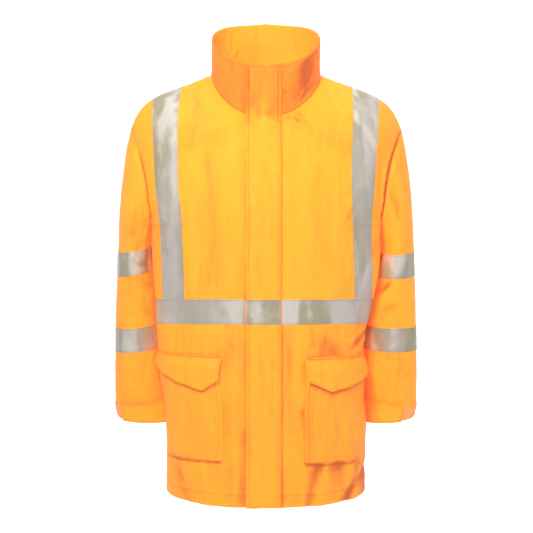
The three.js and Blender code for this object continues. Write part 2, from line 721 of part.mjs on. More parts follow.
const rowAtHeight = (z) => (z - HEM_Z) / (ARMPIT_Z - HEM_Z);
const columnAtWidth = (sheet, v, x) => solve(0, LAST_COLUMN, (s) => Math.abs(sheet.at(s, v).point.x) - x);

// Waist tape, which drops a little towards the sides
const waistRow = (top, s) => rowAtHeight(WAIST_TAPE_TOP - (top ? 0 : TAPE_WIDTH) - WAIST_TAPE_DROOP * s ** 2);
function waistPlaces(sheet, from) {
  return within(bodyColumns, from, WAIST_TAPE_END, LINE_SPACE).map((s) => [
    sheet.at(s, waistRow(false, s)),
    sheet.at(s, lerp(waistRow(false, s), waistRow(true, s), 0.5)),
    sheet.at(s, waistRow(true, s)),
  ]);
}
for (const { name, side } of sides) {
  const edge = side > 0 ? STORM_FLAP.sewnEdge : -STORM_FLAP.freeEdge;
  const from = columnAtWidth(fronts[name], waistRow(true, 0), edge + STORM_FLAP.beside);
  const before = waistPlaces(fronts[name], from);
  const behind = waistPlaces(backs[name], WAIST_TAPE_START);
  addOverlay(`tape_waist_front_${name}`, before, TAPE_LIFT, TAPE_THICKNESS, silver);
  addOverlay(`tape_waist_back_${name}`, behind, TAPE_LIFT, TAPE_THICKNESS, silver);
}

// Braces, from the waist tape up to the shoulder seam
for (const { name } of sides) {
  for (const [face, sheet, rows] of [['front', fronts[name], frontRows], ['back', backs[name], backRows]]) {
    const table = BRACES[face];
    const start = waistRow(true, 0.45) + BRACE_GAP;
    const levels = within(rows, start, BRACE_END, LINE_SPACE);
    const places = evenly(BRACE_COLUMNS).map((f) => levels.map((v) => {
      const miss = (s) => {
        const { point } = sheet.at(s, v);
        const edges = between(table, 'z', clamp(point.z, table[0].z, table[table.length - 1].z));
        return Math.abs(point.x) - lerp(edges.inner, edges.outer, f);
      };
      const s = solve(0, 1, miss);
      const low = waistRow(true, s) + BRACE_GAP;
      return sheet.at(s, Math.max(v, low));
    }));
    addOverlay(`tape_brace_${face}_${name}`, places, BRACE_LIFT, TAPE_THICKNESS, silver);
  }
}

// Bands round the sleeves, a little higher at their inner side
for (const { name } of sides) {
  for (const [level, tape] of Object.entries(SLEEVE_TAPES)) {
    const sheet = sleeves[name];
    const points = sleeveColumns.map((t, i) => [-1, 0, 1].map((half) => {
      const z = tape.z - tape.tilt * Math.cos(2 * Math.PI * t) + (half * TAPE_WIDTH) / 2;
      const w = solve(0.1, 0.95, (value) => z - sheet.columnAt(i, value).point.z);
      return sheet.columnAt(i, w);
    }));
    const { outer, inner } = overlay(points, TAPE_LIFT, TAPE_THICKNESS);
    add(`tape_sleeve_${level}_${name}`, shell(outer, inner, true), silver);
  }
}

// Adjusting straps of the cuffs and the loop patches under their ends
function cuffPlaces(sheet, from, to, rise, height) {
  const unwound = sleeveColumns.map((t) => (t > SLEEVE_UNWIND ? t - 1 : t)).sort((a, b) => a - b);
  const wrapped = within(unwound, from, to, LINE_SPACE);
  return wrapped.map((t) => [0, 0.5, 1].map((f) => {
    const z = (w) => sheet.wrappedAt(t, w).point.z;
    const target = z(1) + rise + height * f;
    return sheet.wrappedAt(t, solve(0.6, 1, (w) => target - z(w)));
  }));
}
for (const { name, side } of sides) {
  const sheet = sleeves[name];
  const end = side > 0 ? CUFF_STRAP.outerLeft : CUFF_STRAP.outerRight;
  const strap = cuffPlaces(sheet, end, CUFF_STRAP.inner, CUFF_STRAP.rise, CUFF_STRAP.height);
  addOverlay(`cuff_strap_${name}`, strap, CUFF_STRAP.lift, CUFF_STRAP.thickness, orange);
  const loop = cuffPlaces(sheet, CUFF_LOOP.from, CUFF_LOOP.to, CUFF_LOOP.rise, CUFF_LOOP.height);
  addOverlay(`cuff_loop_${name}`, loop, CUFF_LOOP.lift, CUFF_LOOP.thickness, orangeLoop);
}

// Bellows pockets and their pointed flaps
function pocketEdges(sheet, inner, sideAngle, z) {
  const v = rowAtHeight(z);
  return { from: columnAtWidth(sheet, v, inner), to: sideAngle / SIDE_SEAM_ANGLE };
}
function bagDepth(s) {
  const fromSide = POCKET.sideAngle / SIDE_SEAM_ANGLE - s;
  return POCKET.depth * clamp(fromSide / POCKET.thinOver, POCKET.thinnest, 1);
}
for (const { name } of sides) {
  const sheet = fronts[name];
  const edges = pocketEdges(sheet, POCKET.inner, POCKET.sideAngle, POCKET.top);
  const first = edges.from + POCKET.gussetColumns;
  const last = edges.to - POCKET.gussetColumns;
  const columns = [edges.from, ...within(bodyColumns, first, last, POCKET_SPACE), edges.to];
  const low = rowAtHeight(POCKET.bottom);
  const high = rowAtHeight(POCKET.top);
  const rows = [low, ...within(lowerRows, low + POCKET.gussetRows, high, POCKET_SPACE)];
  const drop = (s) => (POCKET.droop * s ** 2) / (ARMPIT_Z - HEM_Z);
  const places = columns.map((s) => rows.map((v) => sheet.at(s, v - drop(s))));
  const sewn = (i, j) => i === 0 || j === 0 || i === columns.length - 1;
  const lift = (i, j) => (sewn(i, j) ? POCKET.lift : bagDepth(columns[i]));
  addOverlay(`pocket_${name}`, places, lift, CLOTH, orange);
}
for (const { name } of sides) {
  const sheet = fronts[name];
  const edges = pocketEdges(sheet, POCKET_FLAP.inner, POCKET_FLAP.sideAngle, POCKET_FLAP.top);
  const pointColumn = columnAtWidth(sheet, rowAtHeight(POCKET_FLAP.pointLow), POCKET_FLAP.pointX);
  const columns = [
    ...within(bodyColumns, edges.from, pointColumn, POCKET_SPACE),
    ...within(bodyColumns, pointColumn, edges.to, POCKET_SPACE).slice(1),
  ];
  const lowAt = (s) => (s < pointColumn
    ? lerp(POCKET_FLAP.innerLow, POCKET_FLAP.pointLow, (s - edges.from) / (pointColumn - edges.from))
    : lerp(POCKET_FLAP.pointLow, POCKET_FLAP.outerLow, (s - pointColumn) / (edges.to - pointColumn)));
  const places = columns.map((s) => {
    const middle = lerp(lowAt(s), POCKET_FLAP.crest, 0.5);
    const levels = [lowAt(s), middle, POCKET_FLAP.crest, POCKET_FLAP.top];
    return levels.map((z) => sheet.at(s, rowAtHeight(z - POCKET.droop * s ** 2)));
  });
  const topLevel = places[0].length - 1;
  const lift = (i, j) => POCKET_FLAP.lift + (j < topLevel ? bagDepth(columns[i]) + CLOTH : 0);
  addOverlay(`pocket_flap_${name}`, places, lift, CLOTH, orange);
}

// The front from the hem to the collar top, as lines of points from side to side
const rowOf = (sheet, j) => sheet.points.map((column, i) => ({ point: column[j], normal: sheet.normals[i][j] }));
const frontLine = (j) => [...rowOf(fronts.right, j).reverse(), ...rowOf(fronts.left, j)];
function collarLine(j) {
  const ring = rowOf(collar, j);
  return [...ring.filter((p, i) => collarColumns[i] > 270), ...ring.filter((p, i) => collarColumns[i] < 90)];
}
function lineAt(line, x) {
  let k = 0;
  while (k < line.length - 2 && line[k + 1].point.x < x) {
    k += 1;
  }
  const f = (x - line[k].point.x) / (line[k + 1].point.x - line[k].point.x);
  return {
    point: line[k].point.clone().lerp(line[k + 1].point, f),
    normal: line[k].normal.clone().lerp(line[k + 1].normal, f).normalize(),
  };
}
const torsoLines = frontRows.slice(0, neckBaseRow + 1).map((v, j) => frontLine(j));
const collarLines = collarRows.slice(1).map((h, j) => collarLine(j + 1));
const frontLines = [...torsoLines, ...collarLines];

// Zip strip between the fronts and between the collar's ends
const zipHalf = ZIP_WIDTH / 2 - SEAM_GAP / 2;
const zipPlaces = [-zipHalf, zipHalf].map((x) => frontLines.map((line) => {
  const place = lineAt(line, x);
  place.normal.x = 0;
  place.normal.normalize();
  return place;
}));
addOverlay('front_zip', zipPlaces, -CLOTH, CLOTH + ZIP_RISE, silver);

// Storm flap over the zip, its free edge standing a little off the right front
const flapColumns = [STORM_FLAP.freeEdge, -ZIP_WIDTH / 2, ZIP_WIDTH / 2, STORM_FLAP.sewnEdge];
const flapPlaces = flapColumns.map((x) => frontLines.map((line, k) => {
  const place = lineAt(line, x);
  if (k === frontLines.length - 1) {
    place.point.z -= STORM_FLAP.topDrop;
  }
  return place;
}));
const flapLift = (i) => (i === 0 ? STORM_FLAP.freeLift : STORM_FLAP.lift);
addOverlay('storm_flap', flapPlaces, flapLift, STORM_FLAP.thickness, orange);

// Waist tape across the storm flap
const flapBands = [false, true].map((top) => rowAtHeight(WAIST_TAPE_TOP - (top ? 0 : TAPE_WIDTH)));
const flapTape = flapColumns.map((x) => within(lowerRows, flapBands[0], flapBands[1], LINE_SPACE).map((v) => {
  const sheet = x < 0 ? fronts.right : fronts.left;
  const s = Math.abs(x) < ZIP_WIDTH / 2 ? 0 : columnAtWidth(sheet, v, Math.abs(x));
  return sheet.at(s, v);
}));
const bandLift = (i) => flapLift(i) + STORM_FLAP.thickness + TAPE_LIFT;
addOverlay('tape_waist_flap', flapTape, bandLift, TAPE_THICKNESS, silver);

export default jacket;
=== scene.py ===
"""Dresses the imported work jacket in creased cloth, reflective tape and stitching, with light and a camera.

Lengths are in millimetres, and become metres where a mesh is made. Sides are the wearer's: 1 is the left and
-1 the right. A face of -1 is the front, and 1 the back.
"""
import logging
import math
from dataclasses import dataclass, field
from enum import Enum
from typing import Callable, Sequence

import bpy
import numpy as np
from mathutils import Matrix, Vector


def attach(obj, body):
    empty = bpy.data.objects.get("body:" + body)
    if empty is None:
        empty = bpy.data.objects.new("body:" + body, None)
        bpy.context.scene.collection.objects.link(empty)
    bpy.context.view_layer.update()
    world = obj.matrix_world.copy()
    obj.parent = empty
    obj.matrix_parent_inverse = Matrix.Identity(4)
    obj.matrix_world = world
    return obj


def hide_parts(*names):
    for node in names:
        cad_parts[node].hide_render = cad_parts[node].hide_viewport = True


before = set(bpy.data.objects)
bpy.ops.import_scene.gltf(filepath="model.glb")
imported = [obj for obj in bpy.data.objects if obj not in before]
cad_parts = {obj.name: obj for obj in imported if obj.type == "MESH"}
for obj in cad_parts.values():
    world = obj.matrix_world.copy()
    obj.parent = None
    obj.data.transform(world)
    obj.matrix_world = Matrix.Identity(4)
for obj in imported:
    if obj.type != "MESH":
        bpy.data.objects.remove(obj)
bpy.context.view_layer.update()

LOG = logging.getLogger("jacket")
MM = 0.001

# The cut of the jacket in millimetres, as in the CAD
HEM_Z, ARMPIT_Z, NECK_FRONT_Z, NECK_BACK_Z = -853.0, -292.0, -71.0, 25.0
ZIP_WIDTH, SIDE_SEAM_ANGLE, SHOULDER_NECK_ANGLE, ROUND_POWER = 12.0, 98.0, 88.0, 8.5
NECK_HALF_WIDTH, NECK_MIDDLE_Y, NECK_FRONT_REACH, NECK_BACK_REACH = 111.0, -10.0, 97.0, 95.0
COLLAR_TOP_SHIFT, SLEEVE_BLEND, SLEEVE_CLEARANCE = -4.0, 0.25, 2.2
SLEEVE_SLIM, SLEEVE_SLIM_START, SLEEVE_SLIM_LENGTH = 5.0, 0.3, 0.15
FRONT_NECK_START, BACK_NECK_START = 0.55, 0.7
ZIP_ANGLE = math.degrees(math.asin(ZIP_WIDTH / 2 / NECK_HALF_WIDTH))
WAIST_TAPE_TOP, WAIST_TAPE_DROOP, TAPE_WIDTH = -431.0, 22.0, 50.0
NO_WRAP = 1e6
# Lengths that turn places on a piece into millimetres of cloth
SLEEVE_ROUND, COLLAR_DEGREE, COLLAR_RISE, HALF_RING, JACKET_LENGTH = 400.0, 1.9, 100.0, 330.0, 980.0
# Stitches stand this far off cloth and off tape, and the armhole's crumples start under this height
CLOTH_STITCH, TAPE_STITCH = 0.12, 0.1
CALM_Z, CALM_FADE = -118.0, 60.0


class Profile:
    """A table of values on smooth curves through its rows."""

    def __init__(self, rows: Sequence[Sequence[float]]) -> None:
        """Keep the rows.

        Args:
            rows: One row per knot: the knot, then the values there.
        """
        table = np.array(rows, float)
        self.knots, self.values = table[:, 0], table[:, 1:]
        low = np.maximum(np.arange(len(table)) - 1, 0)
        high = np.minimum(np.arange(len(table)) + 1, len(table) - 1)
        self.slopes = (self.values[high] - self.values[low]) / (self.knots[high] - self.knots[low])[:, None]

    def __call__(self, at: np.ndarray) -> np.ndarray:
        """Read the curves.

        Args:
            at: Places along the table.

        Returns:
            The values, with one more axis than the places.
        """
        at = np.asarray(at, float)
        k = np.clip(np.searchsorted(self.knots, at, side="left") - 1, 0, len(self.knots) - 2)
        span = self.knots[k + 1] - self.knots[k]
        f = np.clip((at - self.knots[k]) / span, 0, 1)[..., None]
        span = span[..., None]
        ends = (2 * f**3 - 3 * f**2 + 1) * self.values[k] + (3 * f**2 - 2 * f**3) * self.values[k + 1]
        bends = (f**3 - 2 * f**2 + f) * self.slopes[k] + (f**3 - f**2) * self.slopes[k + 1]
        return ends + span * bends


# Rings of the body: height, half width, lean, front depth, back depth, squareness
SECTIONS = Profile([
    (-853, 211, 0, -153, 158, 2.15), (-760, 211, 0, -152, 154, 2.2), (-690, 211, 0, -151, 150, 2.25),
    (-645, 212, -5, -150, 147, 2.25), (-600, 217, -8, -150, 144, 2.3), (-548, 216, -11.5, -149, 140, 2.3),
    (-450, 227, -4, -148, 134, 2.3), (-380, 236, 0, -149, 131, 2.3), (-292, 238, 0, -150, 130, 2.3),
])
CENTRE = {
    -1: Profile([(-292, -150), (-230, -147), (-150, -134), (-71, -107)]),
    1: Profile([(-292, 130), (-200, 129), (-100, 118), (-30, 101), (25, 85)]),
}
# Yoke rows: place, where the row ends on its arc, squareness, swell, and how late the row falls
YOKE = {
    -1: Profile([(0, 98, 2.3, 0, 0), (0.14, 88, 2.3, 0, 0), (0.3, 78, 2.3, 3, 0),
                 (0.55, 70, 2.2, 12, 0.12), (0.8, 58, 2.1, 10, 0.34), (1, 50, 2, 0, 0.45)]),
    1: Profile([(0, 82, 2.3, 0, 0), (0.3, 78, 2.3, 3, 0), (0.7, 68, 2.2, 12, 0.15),
                (0.85, 58, 2.1, 8, 0.34), (1, 50, 2, 0, 0.45)]),
}
# Collar by the angle round the neck from the front: base height and top height
COLLAR = Profile([(0, -71, 29), (25, -63, 35), (50, -36, 52), (70, -9, 72), (90, 13, 91), (130, 21, 116),
                  (180, 25, 127)])
# Armhole by the place round it from the shoulder: x, y and z
ARMHOLE_FRONT = [
    (0, 280, 2, -96), (0.0625, 272, -18, -110), (0.125, 261, -36, -135), (0.1875, 250, -50, -166),
    (0.25, 242, -58, -203), (0.3125, 238, -58, -240), (0.375, 234, -46, -270), (0.4375, 237, -14, -288),
]
ARMHOLE_BACK = [
    (0, 280, 2, -96), (0.0625, 272, 20, -108), (0.125, 261, 38, -132), (0.1875, 251, 53, -164),
    (0.25, 242, 64, -203), (0.3125, 234, 68, -240), (0.375, 226, 65, -268), (0.4375, 229, 50, -286),
]
# Sleeve rings: place, outer x and z, inner x and z, middle y, half depth, tuck of the left one's inner line
SLEEVE = Profile([
    (0, 280, -96, 236, -292, 8, 62, 0), (0.12, 297, -168, 240, -318, 14, 74, 0),
    (0.25, 306, -262, 241, -356, 22, 78, 0), (0.4, 312.5, -375, 238, -415, 28, 75, 8),
    (0.55, 318.5, -470, 234, -490, 31, 70, 18), (0.7, 321, -560, 227, -568, 31, 64, 16),
    (0.83, 321.5, -635, 218, -640, 27, 55, 5), (0.92, 320.5, -678, 214, -684, 23, 47, 0),
    (1, 315, -704, 213, -712, 20, 43, 0),
])
# Braces by face and side: height, inner edge and outer edge
BRACES = {
    (-1, 1): Profile([(-440, 179, 218), (-290, 173, 213), (-200, 170, 218), (-137, 171, 222), (-60, 175, 229),
                      (10, 177, 234)]),
    (-1, -1): Profile([(-440, 163, 210), (-290, 167, 214), (-200, 174, 223), (-137, 176, 226),
                       (-60, 176, 231), (10, 173, 234)]),
    (1, 1): Profile([(-460, 150, 198), (-290, 152, 200), (-137, 156, 210), (-60, 165, 224), (10, 177, 234)]),
    (1, -1): Profile([(-460, 150, 198), (-290, 152, 200), (-137, 156, 210), (-60, 163, 224), (10, 173, 234)]),
}


@dataclass(frozen=True)
class Crease:
    """A soft ridge, or a trough where its height is negative, along a line seen from the front."""

    x1: float
    z1: float
    x2: float
    z2: float
    width: float
    height: float

    def at(self, x: np.ndarray, z: np.ndarray) -> np.ndarray:
        """Find how far the crease moves points out.

        Args:
            x: Places across, in millimetres.
            z: Heights, in millimetres.

        Returns:
            Millimetres out at each place.
        """
        dx, dz = self.x2 - self.x1, self.z2 - self.z1
        f = np.clip(((x - self.x1) * dx + (z - self.z1) * dz) / (dx * dx + dz * dz), 0, 1)
        away = np.hypot(x - self.x1 - f * dx, z - self.z1 - f * dz)
        return self.height * np.exp(-((away / self.width) ** 2))


@dataclass(frozen=True)
class Dent:
    """A crease of a sleeve or the collar, round (t) and along (w) its piece, turned by a slant."""

    t: float
    w: float
    across: float
    along: float
    height: float
    slant: float = 0.0

    def at(self, t: np.ndarray, w: np.ndarray, wrap: float = 1.0) -> np.ndarray:
        """Find how far the dent moves points out.

        Args:
            t: Places round the piece.
            w: Places along it.
            wrap: The length of a full turn in t.

        Returns:
            Millimetres out at each place.
        """
        dt = (t - self.t + wrap / 2) % wrap - wrap / 2
        dw = w - self.w - self.slant * dt
        return self.height * np.exp(-((dt / self.across) ** 2) - (dw / self.along) ** 2)


def creases(*rows: Sequence[float]) -> list[Crease]:
    """Make creases from rows of x and z at one end, x and z at the other, width and height."""
    return [Crease(*row) for row in rows]


def dents(*rows: Sequence[float]) -> list[Dent]:
    """Make dents from rows of place round, place along, width round, width along, height and slant."""
    return [Dent(*row) for row in rows]


def relief(marks: Sequence[Crease | Dent], *place: np.ndarray | float) -> np.ndarray:
    """Add up how far creases or dents move points out."""
    return sum(mark.at(*place) for mark in marks)


def grow(distance: np.ndarray, width: float) -> np.ndarray:
    """Rise from 0 at an edge to 1 at a distance from it."""
    return np.clip(distance / width, 0, 1)


def near(distance: np.ndarray, width: float) -> np.ndarray:
    """Fade from 1 at an edge to 0 away from it, with little left beyond the width."""
    return np.exp(-((distance / width) ** 2))


# The CAD's own folds
FOLDS = {
    -1: creases(
        (-60, -520, -52, -840, 26, 3), (52, -560, 60, -840, 24, -2.5), (-120, -330, -95, -420, 30, -2),
        (110, -330, 120, -425, 28, 2), (185, -75, 215, -140, 12, 2.5), (120, -95, 95, -190, 26, 2),
    ),
    1: creases(
        (-90, -500, -100, -840, 32, 4), (85, -520, 92, -840, 30, 4), (0, -560, 4, -840, 30, -3),
        (-150, -190, -190, -300, 20, 3), (150, -190, 190, -300, 20, 3),
    ),
}
# Soft shadows under edges and in folds, darker the more negative
SHADES = {
    1: creases(
        (217, -660, 212, -850, 13, -5), (192, -780, 168, -850, 7, -2.4), (80, -767, 180, -775, 2.6, -5.5),
        (112, -780, 150, -780, 9, -2), (80, -545, 190, -566, 2, -2.5), (33, -75, 33, -850, 1.8, -3.4),
        (200, -510, 184, -530, 6, -1.6), (212, -470, 208, -560, 7, -2), (38, -66, 62, -78, 4, -2),
        (40, -74, 84, -86, 5, -1.2), (70, -500, 62, -620, 10, -1),
    ),
    -1: creases(
        (-92, -762, -200, -770, 2.6, -5.5), (-202, -775, -184, -815, 7, -1),
        (-97, -540, -205, -549, 2, -2.5), (-41.5, -430, -42, -850, 2.2, -2.2),
        (-41, -75, -41, -430, 2, -2.8), (-60, -640, -66, -850, 12, -1.2), (-36, -66, -60, -78, 4, -1.4),
        (-214, -750, -208, -850, 6, -2), (-200, -500, -170, -520, 6, -1), (-36, -425, -60, -420, 6, -1),
    ),
}

SLEEVE_FOLDS = dents(
    (0.36, 0.44, 0.07, 0.035, -4), (0.3, 0.5, 0.1, 0.03, 3), (0.72, 0.46, 0.12, 0.03, 3),
    (0.66, 0.53, 0.1, 0.03, -3), (0.14, 0.2, 0.05, 0.14, -2.5),
)
# Finer creases that only the cloth pieces have
FINE = {
    -1: creases(
        (182, -66, 226, -132, 5, 1.6), (176, -74, 220, -142, 6, -1.5), (36, -66, 44, -92, 3, -1.1),
        (50, -66, 60, -88, 3, 1.1), (66, -62, 80, -84, 3.5, -1), (-40, -70, -48, -96, 3.5, -0.9),
        (-60, -64, -70, -90, 4, 0.8), (204, -500, 168, -524, 4, 1.2), (206, -514, 172, -540, 4, -1.2),
        (206, -528, 180, -552, 4, 0.9), (-222, -505, -190, -522, 5, 1), (-45, -700, -50, -845, 8, -1.5),
        (-64, -600, -70, -845, 10, 1.6), (101, -775, 88, -850, 11, -2.4), (120, -770, 112, -850, 10, 1.6),
        (206, -800, 160, -852, 9, -2.6), (196, -772, 182, -850, 9, 1.8),
        (-176, -776, -166, -850, 11, -1.8), (-128, -772, -120, -850, 12, 1.6),
        (74, -130, 84, -420, 16, 1.4), (104, -180, 100, -420, 13, -1.3), (136, -150, 146, -420, 14, 1.2),
        (-74, -150, -70, -420, 16, 1.2), (-110, -120, -104, -400, 15, -1.1),
        (-142, -160, -150, -420, 14, 1.2), (-62, -486, -84, -560, 13, -1), (70, -486, 62, -620, 12, 1.4),
        (44, -500, 50, -700, 9, -1), (-176, -292, -208, -362, 9, -1.6), (186, -280, 220, -352, 9, -1.8),
        (170, -240, 224, -300, 8, 1.4), (-170, -236, -222, -286, 9, 1.4),
    ),
    1: creases(
        (-40, -120, -46, -420, 18, 1.6), (60, -90, 52, -420, 20, -1.6), (110, -150, 118, -420, 15, 1.4),
        (-112, -130, -104, -420, 16, -1.4), (-60, -600, -54, -845, 14, -1.8),
        (40, -500, 46, -845, 13, 1.8), (140, -500, 150, -845, 15, -2), (-150, -490, -142, -845, 15, 1.8),
        (170, -300, 216, -372, 9, -2), (-168, -304, -214, -380, 9, -2), (-90, -60, -30, -110, 10, 1.2),
        (90, -64, 30, -108, 10, 1.2), (-200, -470, -150, -520, 9, -1.6), (196, -476, 150, -530, 9, 1.6),
    ),
}
FINE_SLEEVE = {
    1: dents(
        (0.33, 0.43, 0.05, 0.012, -3, 0.2), (0.36, 0.47, 0.06, 0.013, 2.2, 0.25),
        (0.31, 0.52, 0.05, 0.012, -2, 0.2), (0.17, 0.12, 0.03, 0.11, 1.8), (0.24, 0.16, 0.035, 0.09, -2),
        (0.22, 0.955, 0.04, 0.012, -1, 0.3), (0.3, 0.9, 0.06, 0.01, 1, 0.25), (0.1, 0.3, 0.05, 0.08, 1.2),
        (0.2, 0.7, 0.035, 0.1, -1.3), (0.12, 0.62, 0.04, 0.11, 1.3), (0.7, 0.3, 0.06, 0.03, -2, 0.3),
        (0.78, 0.6, 0.07, 0.02, 2, 0.2),
    ),
    -1: dents(
        (0.33, 0.345, 0.06, 0.012, -2.8, -0.15), (0.27, 0.33, 0.07, 0.014, 1.8, -0.15),
        (0.36, 0.45, 0.06, 0.013, 1.6, 0.2), (0.24, 0.2, 0.04, 0.08, -1.6, 0.4),
        (0.15, 0.16, 0.03, 0.1, 1.4, 0.4), (0.35, 0.53, 0.06, 0.012, -2, 0.2), (0.2, 0.7, 0.04, 0.1, 1.2),
        (0.11, 0.63, 0.04, 0.1, -1), (0.3, 0.9, 0.05, 0.01, -1, 0.3), (0.72, 0.34, 0.06, 0.03, -2, 0.3),
        (0.76, 0.62, 0.07, 0.02, 2, -0.2),
    ),
}
COLLAR_DENTS = dents(
    (48, 0.6, 9, 0.34, -3.4, 0.004), (28, 0.6, 6, 0.34, 2.6, 0.004), (70, 0.5, 8, 0.4, 2.2),
    (44, 0.16, 5, 0.05, -2.2, 0.014), (52, 0.3, 6, 0.05, 1.8, 0.014), (20, 0.42, 4, 0.05, -1.8, -0.01),
    (335, 0.35, 5, 0.25, -1.4), (318, 0.6, 10, 0.3, 1.4), (24, 0.06, 3, 0.07, -1.2, 0.02),
    (36, 0.06, 3, 0.08, 1.2, 0.02), (46, 0.06, 4, 0.07, -1.2, 0.02), (338, 0.06, 3, 0.07, -1, -0.02),
    (326, 0.06, 4, 0.08, 1, -0.02), (150, 0.5, 14, 0.3, 1.6), (205, 0.55, 12, 0.3, -1.6),
)


@dataclass(frozen=True)
class Scatter:
    """Small creases strewn over a piece.

    The box is the lowest x, lowest z, highest x and highest z of their middles. They lean up to the tilt from
    upright, have lengths and widths within their ranges, and move the cloth up to the height, in or out.
    """

    count: int
    box: tuple[float, float, float, float]
    tilt: float
    length: tuple[float, float]
    width: tuple[float, float]
    height: float

    def creases(self, seed: int, side: int) -> list[Crease]:
        """Strew the creases.

        Args:
            seed: The seed.
            side: 1, or -1 to mirror the box.

        Returns:
            The creases.
        """
        rng = np.random.default_rng(seed)
        left, right = sorted((side * self.box[0], side * self.box[2]))
        made = []
        for _ in range(self.count):
            x, z = rng.uniform(left, right), rng.uniform(self.box[1], self.box[3])
            lean, half = math.radians(rng.uniform(-self.tilt, self.tilt)), rng.uniform(*self.length) / 2
            dx, dz = half * math.sin(lean), half * math.cos(lean)
            out = rng.uniform(0.35, 1) * self.height * rng.choice([-1, 1])
            made.append(Crease(x - dx, z - dz, x + dx, z + dz, rng.uniform(*self.width), out))
        return made


def strew(scatters: Sequence[Scatter], seed: int, side: int = 1, step: int = 1) -> list[Crease]:
    """Strew creases over a piece, each kind with a seed of its own, a step after the last one's."""
    return [crease for k, scatter in enumerate(scatters) for crease in scatter.creases(seed + k * step, side)]


# Over a panel, a sleeve (x round it), the collar (x round it, z up it), the storm flap and a pocket's bag
PANEL_SCATTER = (
    Scatter(95, (44, -850, 205, -70), 11, (35, 150), (3.5, 8), 0.85),
    Scatter(30, (44, -850, 205, -440), 40, (25, 90), (5, 11), 1.3),
    Scatter(26, (150, -400, 235, -120), 50, (20, 60), (4, 8), 1.2),
)
SLEEVE_SCATTER = (
    Scatter(70, (0, -690, SLEEVE_ROUND, -130), 25, (30, 110), (4, 9), 0.9),
    Scatter(34, (60, -640, 220, -280), 78, (30, 90), (5, 10), 1.7),
    Scatter(16, (20, -690, 200, -640), 88, (20, 60), (3, 5), 0.9),
)
COLLAR_SCATTER = (Scatter(60, (0, 5, 690, 95), 55, (15, 50), (3.5, 7), 0.9),)
STORM_SCATTER = (
    Scatter(46, (-36, -850, -14, 110), 25, (4, 14), (4, 9), -1.0),
    Scatter(46, (10, -850, 28, 110), 25, (4, 14), (4, 9), 1.0),
    Scatter(30, (-30, -850, 24, 110), 14, (60, 180), (5, 10), 0.9),
)
BAG_SCATTER = (Scatter(34, (80, -750, 200, -600), 24, (30, 90), (4, 9), 1.1),)


def arc(degrees: np.ndarray, square: np.ndarray) -> tuple[np.ndarray, np.ndarray]:
    """Find a point of the unit superellipse."""
    sine, cosine = np.sin(np.radians(degrees)), np.cos(np.radians(degrees))
    return np.abs(sine) ** (2 / square), np.sign(cosine) * np.abs(cosine) ** (2 / square)


def stack(*values: np.ndarray) -> np.ndarray:
    """Join coordinates into points."""
    return np.stack(np.broadcast_arrays(*values), axis=-1)


def side_seam(z: np.ndarray, side: int) -> np.ndarray:
    """Find points of the side seam.

    Args:
        z: Heights in millimetres.
        side: 1 for the wearer's left, -1 for the right.

    Returns:
        The points.
    """
    half, lean, front, _, square = np.moveaxis(SECTIONS(z), -1, 0)
    across, deep = arc(SIDE_SEAM_ANGLE, square)
    return stack(side * half * across + lean, front * deep, z)


ARMPIT = side_seam(np.array(ARMPIT_Z), 1)
ARMHOLE = {-1: Profile([*ARMHOLE_FRONT, (0.5, *ARMPIT)]), 1: Profile([*ARMHOLE_BACK, (0.5, *ARMPIT)])}


def armhole(t: np.ndarray, side: int) -> np.ndarray:
    """Find points of the armhole."""
    front, back = ARMHOLE[-1](np.minimum(t, 0.5)), ARMHOLE[1](np.minimum(1 - t, 0.5))
    return np.where((t <= 0.5)[..., None], front, back) * np.array([side, 1, 1])


def neckline(angle: np.ndarray, side: np.ndarray) -> np.ndarray:
    """Find points of the neckline.

    Args:
        angle: Degrees round the neck from the front.
        side: 1 for the wearer's left, -1 for the right.

    Returns:
        The points.
    """
    reach = np.where(angle < 90, NECK_FRONT_REACH, NECK_BACK_REACH)
    turn = np.radians(angle)
    x, y = side * NECK_HALF_WIDTH * np.sin(turn), NECK_MIDDLE_Y - reach * np.cos(turn)
    return stack(x, y, COLLAR(angle)[..., 0])


